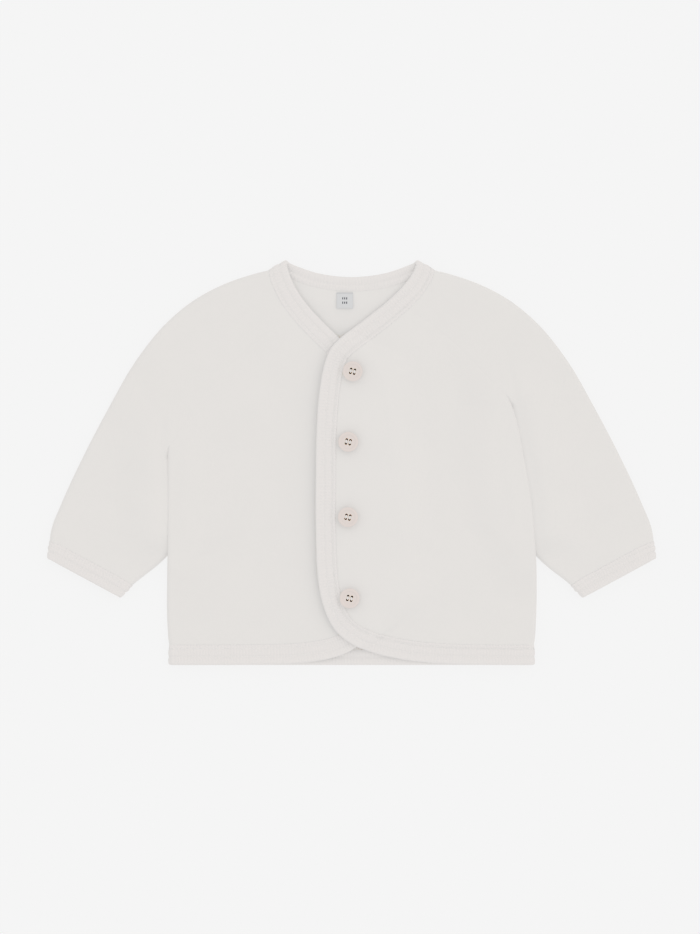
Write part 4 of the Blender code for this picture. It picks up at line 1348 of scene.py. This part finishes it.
MATERIALS = {
    "fleece": fleece_material,
    "rib": rib_material,
    "thread": thread_material,
    "button": button_material,
    "label": label_material,
}


def material(name):
    return bpy.data.materials.get(name.title()) or MATERIALS[name]()


# Pieces


def belongs(made, slot, *nodes):
    """Hangs a piece on the root's empty and hides the CAD nodes that it replaces; its slot is not used.
    """
    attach(made, "root")
    if nodes:
        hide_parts(*nodes)


def make_back():
    made = fleece_piece("Back", back_grid(), -1, ("first", "last"))
    belongs(made, "fleece", "back")


def make_front(side, word):
    made = fleece_piece(f"Front_{word}", front_grid(side), 1, ("last", "top"))
    belongs(made, "fleece", f"front_{word}")


def make_sleeve(side, word):
    grid, closed = sleeve_grid(side)
    made = fleece_piece(f"Sleeve_{word}", grid, 1, ("first", "last"), closed)
    belongs(made, "fleece", f"sleeve_{word}")


def make_binding(name, path, outside=OUTSIDE, inside=INSIDE):
    """A ribbed binding with its stitches. Its name says which node it replaces."""
    settings = bpy.context.scene.jacket_binding
    rows = (NEEDLE_ROWS[0], NEEDLE_ROWS[1] - OUTSIDE + outside)
    steep = STEEP_GROOVE if path.layer == "left front" else 1.0
    ribbed = grown(
        binding_mesh(name, path, outside, inside),
        ribs_tree,
        {
            "Rib Pitch": settings.rib_pitch,
            "Rib Depth": settings.rib_depth,
            "First Row": rows[0] * MM,
            "Second Row": rows[1] * MM,
            "First Depth": settings.groove_depth,
            "Second Depth": settings.groove_depth * steep,
            "Material": material("rib"),
        },
    )
    belongs(ribbed, "rib", name.lower())
    sewn = grown(
        stitch_rows(f"{name}_stitches", path, rows, settings.groove_depth / MM, outside),
        stitches_tree,
        {
            "Stitch Length": settings.stitch_length,
            "Gap": settings.stitch_gap,
            "Thread Radius": settings.thread_radius,
            "Material": material("thread"),
        },
    )
    belongs(sewn, "rib")


def button_profile(settings):
    """Radius and height of the button's turned outline, from its face's middle to its thread."""
    r, rim = settings.diameter / MM / 2, settings.rim / MM
    top, dish = BUTTON_HEIGHT, settings.dish / MM
    inner, edge = r - rim - SLOPE, r - BUTTON_ROUND
    face = [(x, top - dish) for x in np.linspace(0.0, inner, 24)]
    slope = [(inner + SLOPE * t, top - dish + dish * ramp(t)) for t in np.linspace(0.1, 1, 8)]
    crown = [
        (r - rim + (rim - BUTTON_ROUND) * t, top + CROWN * math.sin(math.pi * t))
        for t in np.linspace(0.2, 1, 6)
    ]
    turn = [
        (edge + BUTTON_ROUND * math.sin(a), top - BUTTON_DROP + BUTTON_DROP * math.cos(a))
        for a in np.linspace(0.2, 1.9, 9)
    ]
    under = [(r - 0.3, 0.9), (r - 0.8, 0.35), (r - 1.6, 0.05), (3.0, 0.0), (1.7, 0.0)]
    shank = [(1.6, -0.3), (1.6, -1.05), (1.0, -1.1), (0.0, -1.1)]
    return face + slope + crown + turn + under + shank


def make_button(number, x, y):
    settings = bpy.context.scene.jacket_button
    base = place(np.array([[x, y]]), "left front", 1)[0, 2] + FLEECE / 2 + THREAD_HEIGHT
    radius, height = np.transpose(button_profile(settings)[1:-1])
    turn = 2 * math.pi * np.arange(AROUND) / AROUND
    px, py = radius[:, None] * np.cos(turn), radius[:, None] * np.sin(turn)
    pz = np.broadcast_to(height[:, None], px.shape).copy()
    # Mask of the holes, where the button's material paints shade
    hole_shade = np.zeros(px.shape)
    reach = settings.hole_spacing / MM / math.sqrt(2)
    holes = [math.pi / 4 + k * math.pi / 2 - HOLE_TURN for k in range(4)]
    face = (np.arange(len(radius)) < FACE_RINGS)[:, None]
    for angle in holes:
        far = np.hypot(px - reach * math.cos(angle), py - reach * math.sin(angle))
        inside = ramp((settings.hole_radius / MM - far) / HOLE_EDGE + 0.5) * face
        pz -= HOLE_DEPTH * inside
        hole_shade = np.maximum(hole_shade, inside)
    points = np.stack([x + px, y + py, base + pz], axis=-1).reshape(-1, 3)
    ids = np.arange(len(points)).reshape(px.shape)
    ids = np.concatenate([ids, ids[:, :1]], axis=1)
    faces = outward(points, [*quads(ids), ids[0, :-1][::-1], ids[-1, :-1]])
    made = add_mesh(f"Button_{number}", points, [], faces, material("button"))
    store(made.data, "hole_shade", hole_shade)
    belongs(made, "button", f"button_{number}")
    make_button_thread(number, (x, y, base + BUTTON_HEIGHT - settings.dish / MM), holes, reach)


def make_button_thread(number, middle, holes, reach):
    """Two bundles of thread, each arching from an upper hole to the hole below it."""
    points, faces = [], []
    ring = np.arange(STRAND_SIDES)
    turns = 2 * math.pi * ring / STRAND_SIDES
    for upper, lower in ((holes[0], holes[3]), (holes[1], holes[2])):
        start = np.array([math.cos(upper), math.sin(upper)]) * reach
        run = np.array([math.cos(lower), math.sin(lower)]) * reach - start
        side = np.array([-run[1], run[0]]) / np.hypot(*run)
        for strand in (-1, 0, 1):
            first = len(points)
            for i in range(STRAND_STAGES):
                t = i / (STRAND_STAGES - 1)
                arch = max(math.sin(math.pi * t), 0.0)
                off = strand * STRAND_PITCH * blend(0.4, 1, arch)
                z = STRAND_RISE * arch**0.5 - (STRAND_DIP if t in (0, 1) else 0)
                for turn in turns:
                    at = start + run * t + side * (off + math.cos(turn) * STRAND)
                    points.append((*at, z + STRAND * math.sin(turn)))
            for i in range(first, first + (STRAND_STAGES - 1) * STRAND_SIDES, STRAND_SIDES):
                after = np.roll(ring, -1)
                rows = (i + ring, i + after, i + after + STRAND_SIDES, i + ring + STRAND_SIDES)
                faces += list(np.stack(rows, axis=1))
            faces += [first + ring[::-1], len(points) - STRAND_SIDES + ring]
    points = np.array(points) + middle
    faces = outward(points, faces)
    made = add_mesh(f"Button_{number}_thread", points, [], faces, material("thread"))
    belongs(made, "button")


def make_label():
    """A loop of woven ribbon, a little curled. Its upper end is not folded: its material paints the
    shade of a fold there.
    """
    settings = bpy.context.scene.jacket_label
    width, length = settings.width / MM, settings.length / MM
    u = np.linspace(-0.5, 0.5, LABEL_ROWS)
    v = u[::-1]
    q = np.stack(np.meshgrid(u * width, v * length), axis=-1) + LABEL_CENTRE
    middle = place(q, "body", -1)
    curl = LABEL_RAISED * ramp((0.5 - v) * 1.2)[:, None] + LABEL_BENT * np.cos(u * 5)
    middle[..., 2] += FLEECE / 2 + SEAM + LABEL_GAP + curl
    edge = np.minimum(0.5 - np.abs(u)[None], 0.5 - np.abs(v)[:, None]) * width
    roll = np.sqrt(1 - (1 - np.clip(edge / LABEL_ROUND, 0, 1)) ** 2)
    half = LABEL_HALF * roll + LABEL_EDGE
    made = shell("Label", middle, normals_of(middle, 1), half, material("label"))
    mesh = made.data
    flat = np.array([vertex.co[:2] for vertex in mesh.vertices]) / MM
    flat = flat + (width / 2, MIDDLE_Y + length / 2) - LABEL_CENTRE
    map_uv(mesh, flat[corners_of(mesh)] * MM)
    belongs(made, "label", "label")


# Settings, operators and panel


def length(name, description, default):
    return FloatProperty(name=name, description=description, default=default, unit="LENGTH")


def colour(name, description, default):
    return FloatVectorProperty(
        name=name, description=description, default=default, subtype="COLOR"
    )


class FleeceSettings(bpy.types.PropertyGroup):
    colour: colour("Colour", "Colour of the fleece", (0.766, 0.738, 0.704))
    seam_dip: length("Seam dip", "Depth of the valley along a seam", 0.00006)


class BindingSettings(bpy.types.PropertyGroup):
    colour: colour("Colour", "Colour of the rib", (0.775, 0.737, 0.708))
    rib_pitch: length("Rib pitch", "From one rib to the next", 0.00215)
    rib_depth: length("Rib depth", "Height of a rib over its valleys", 0.00035)
    groove_depth: length("Groove depth", "How far a needle row sinks in", 0.0006)
    stitch_length: length("Stitch length", "Length of one stitch", 0.0024)
    stitch_gap: length("Stitch gap", "From one stitch to the next", 0.0004)
    thread_radius: length("Thread radius", "Radius of the thread", 0.0002)


class ButtonSettings(bpy.types.PropertyGroup):
    colour: colour("Colour", "Colour of the buttons", (0.70, 0.58, 0.505))
    diameter: length("Diameter", "Across a button", 0.014)
    rim: length("Rim", "Width of the raised rim", 0.0015)
    dish: length("Dish", "Depth of the middle below the rim", 0.0007)
    hole_radius: length("Hole radius", "Radius of a hole", 0.00085)
    hole_spacing: length("Hole spacing", "From one hole to the next", 0.0027)


class LabelSettings(bpy.types.PropertyGroup):
    colour: colour("Colour", "Colour of the ribbon", (0.60, 0.605, 0.61))
    width: length("Width", "Across the label", 0.0114)
    length: length("Length", "Down the label", 0.0112)


class StageSettings(bpy.types.PropertyGroup):
    floor_colour: colour("Floor", "Colour of the floor", (0.1, 0.1, 0.1))
    floor_glow: FloatProperty(
        name="Floor glow",
        description="Light that the floor gives, as a light table does",
        default=0.811,
    )
    sky: FloatProperty(name="Sky", description="Strength of the even light", default=0.96)
    sun: FloatProperty(
        name="Sun", description="Strength of the soft main light", default=0.25
    )


class JACKET_OT_back(bpy.types.Operator):
    """Makes the back panel"""

    bl_idname = "jacket.back"
    bl_label = "Back"

    def execute(self, context):
        make_back()
        return {"FINISHED"}


class JACKET_OT_fronts(bpy.types.Operator):
    """Makes the two fronts, the left one lapped over the right"""

    bl_idname = "jacket.fronts"
    bl_label = "Fronts"

    def execute(self, context):
        make_front(RIGHT, "right")
        make_front(LEFT, "left")
        return {"FINISHED"}


class JACKET_OT_sleeves(bpy.types.Operator):
    """Makes the two raglan sleeves"""

    bl_idname = "jacket.sleeves"
    bl_label = "Sleeves"

    def execute(self, context):
        make_sleeve(RIGHT, "right")
        make_sleeve(LEFT, "left")
        return {"FINISHED"}


class JACKET_OT_bindings(bpy.types.Operator):
    """Makes the ribbed bindings of the fronts, neck and hem, with their stitches"""

    bl_idname = "jacket.bindings"
    bl_label = "Bindings"

    def execute(self, context):
        make_binding("Front_binding_right", front_path(RIGHT))
        make_binding("Front_binding_left", front_path(LEFT))
        make_binding("Neck_binding", neck_path())
        make_binding("Hem_binding", hem_path(), inside=HEM_INSIDE)
        return {"FINISHED"}


class JACKET_OT_cuffs(bpy.types.Operator):
    """Makes the ribbed binding round the end of each sleeve"""

    bl_idname = "jacket.cuffs"
    bl_label = "Cuffs"

    def execute(self, context):
        for side, word in ((RIGHT, "right"), (LEFT, "left")):
            make_binding(f"Cuff_{word}", cuff_path(side), CUFF_OUTSIDE)
        return {"FINISHED"}


class JACKET_OT_buttons(bpy.types.Operator):
    """Makes the four-hole buttons and their thread"""

    bl_idname = "jacket.buttons"
    bl_label = "Buttons"

    def execute(self, context):
        for i, (x, y) in enumerate(BUTTONS):
            make_button(i + 1, x, y)
        return {"FINISHED"}


class JACKET_OT_label(bpy.types.Operator):
    """Makes the woven label inside the back neck"""

    bl_idname = "jacket.label"
    bl_label = "Label"

    def execute(self, context):
        make_label()
        return {"FINISHED"}


class JACKET_OT_stage(bpy.types.Operator):
    """Makes the floor, the lights and the camera above the jacket"""

    bl_idname = "jacket.stage"
    bl_label = "Stage"

    def execute(self, context):
        make_floor()
        make_lights()
        make_camera()
        return {"FINISHED"}


def make_floor():
    settings = bpy.context.scene.jacket_stage
    mesh = bpy.data.meshes.new("Floor")
    half, z = FLOOR_HALF, FLOOR_Z
    corners = [(-half, -half, z), (half, -half, z), (half, half, z), (-half, half, z)]
    mesh.from_pydata(corners, [], [(0, 1, 2, 3)])
    floor = bpy.data.objects.new("Floor", mesh)
    bpy.context.scene.collection.objects.link(floor)
    made, _, shader = new_material("Floor", 1.0)
    shader.inputs["Base Color"].default_value = (*settings.floor_colour, 1)
    shader.inputs["Specular IOR Level"].default_value = 0.0
    shader.inputs["Emission Color"].default_value = (1, 1, 1, 1)
    shader.inputs["Emission Strength"].default_value = settings.floor_glow
    mesh.materials.append(made)


def make_lights():
    settings = bpy.context.scene.jacket_stage
    scene = bpy.context.scene
    scene.world = bpy.data.worlds.new("Studio")
    scene.world.use_nodes = True
    sky = scene.world.node_tree.nodes["Background"]
    sky.inputs["Color"].default_value = (1, 1, 1, 1)
    sky.inputs["Strength"].default_value = settings.sky
    lamp = bpy.data.lights.new("Main_light", "SUN")
    lamp.energy = settings.sun
    lamp.angle = SUN_SPREAD
    made = bpy.data.objects.new("Main_light", lamp)
    made.rotation_euler = Vector(SUN_FROM).to_track_quat("Z", "Y").to_euler()
    scene.collection.objects.link(made)
    scene.view_settings.view_transform = "Standard"
    scene.view_settings.look = "None"
    scene.view_settings.use_curve_mapping = True
    tones = scene.view_settings.curve_mapping
    for given, shown in SOFT_TONES:
        tones.curves[3].points.new(given, shown)
    tones.update()


def make_camera():
    """Straight above the jacket and far away."""
    lens = bpy.data.cameras.new("Camera")
    lens.sensor_width = SENSOR
    lens.lens = SENSOR * CAMERA_HEIGHT / VIEW_HEIGHT
    lens.clip_end = 50.0
    made = bpy.data.objects.new("Camera", lens)
    made.location = (*VIEW_CENTRE, CAMERA_HEIGHT)
    bpy.context.scene.collection.objects.link(made)
    bpy.context.scene.camera = made


class JACKET_PT_panel(bpy.types.Panel):
    """Lists the jacket's pieces and settings"""

    bl_idname = "JACKET_PT_panel"
    bl_label = "Jacket"
    bl_space_type = "VIEW_3D"
    bl_region_type = "UI"
    bl_category = "Jacket"

    def draw(self, context):
        for operator in OPERATORS:
            self.layout.operator(operator.bl_idname)
        for name, group in SETTINGS.items():
            box = self.layout.box()
            for field in group.__annotations__:
                box.prop(getattr(context.scene, name), field)


SETTINGS = {
    "jacket_fleece": FleeceSettings,
    "jacket_binding": BindingSettings,
    "jacket_button": ButtonSettings,
    "jacket_label": LabelSettings,
    "jacket_stage": StageSettings,
}
OPERATORS = (
    JACKET_OT_stage,
    JACKET_OT_back,
    JACKET_OT_fronts,
    JACKET_OT_sleeves,
    JACKET_OT_bindings,
    JACKET_OT_cuffs,
    JACKET_OT_buttons,
    JACKET_OT_label,
)


def register():
    for made in (*SETTINGS.values(), *OPERATORS, JACKET_PT_panel):
        bpy.utils.register_class(made)
    for name, group in SETTINGS.items():
        setattr(bpy.types.Scene, name, PointerProperty(type=group))


def unregister():
    for name in SETTINGS:
        delattr(bpy.types.Scene, name)
    for made in (JACKET_PT_panel, *reversed(OPERATORS), *SETTINGS.values()):
        bpy.utils.unregister_class(made)


def main():
    register()
    for operator in OPERATORS:
        family, name = operator.bl_idname.split(".")
        getattr(getattr(bpy.ops, family), name)()


if __name__ == "__main__":
    main()
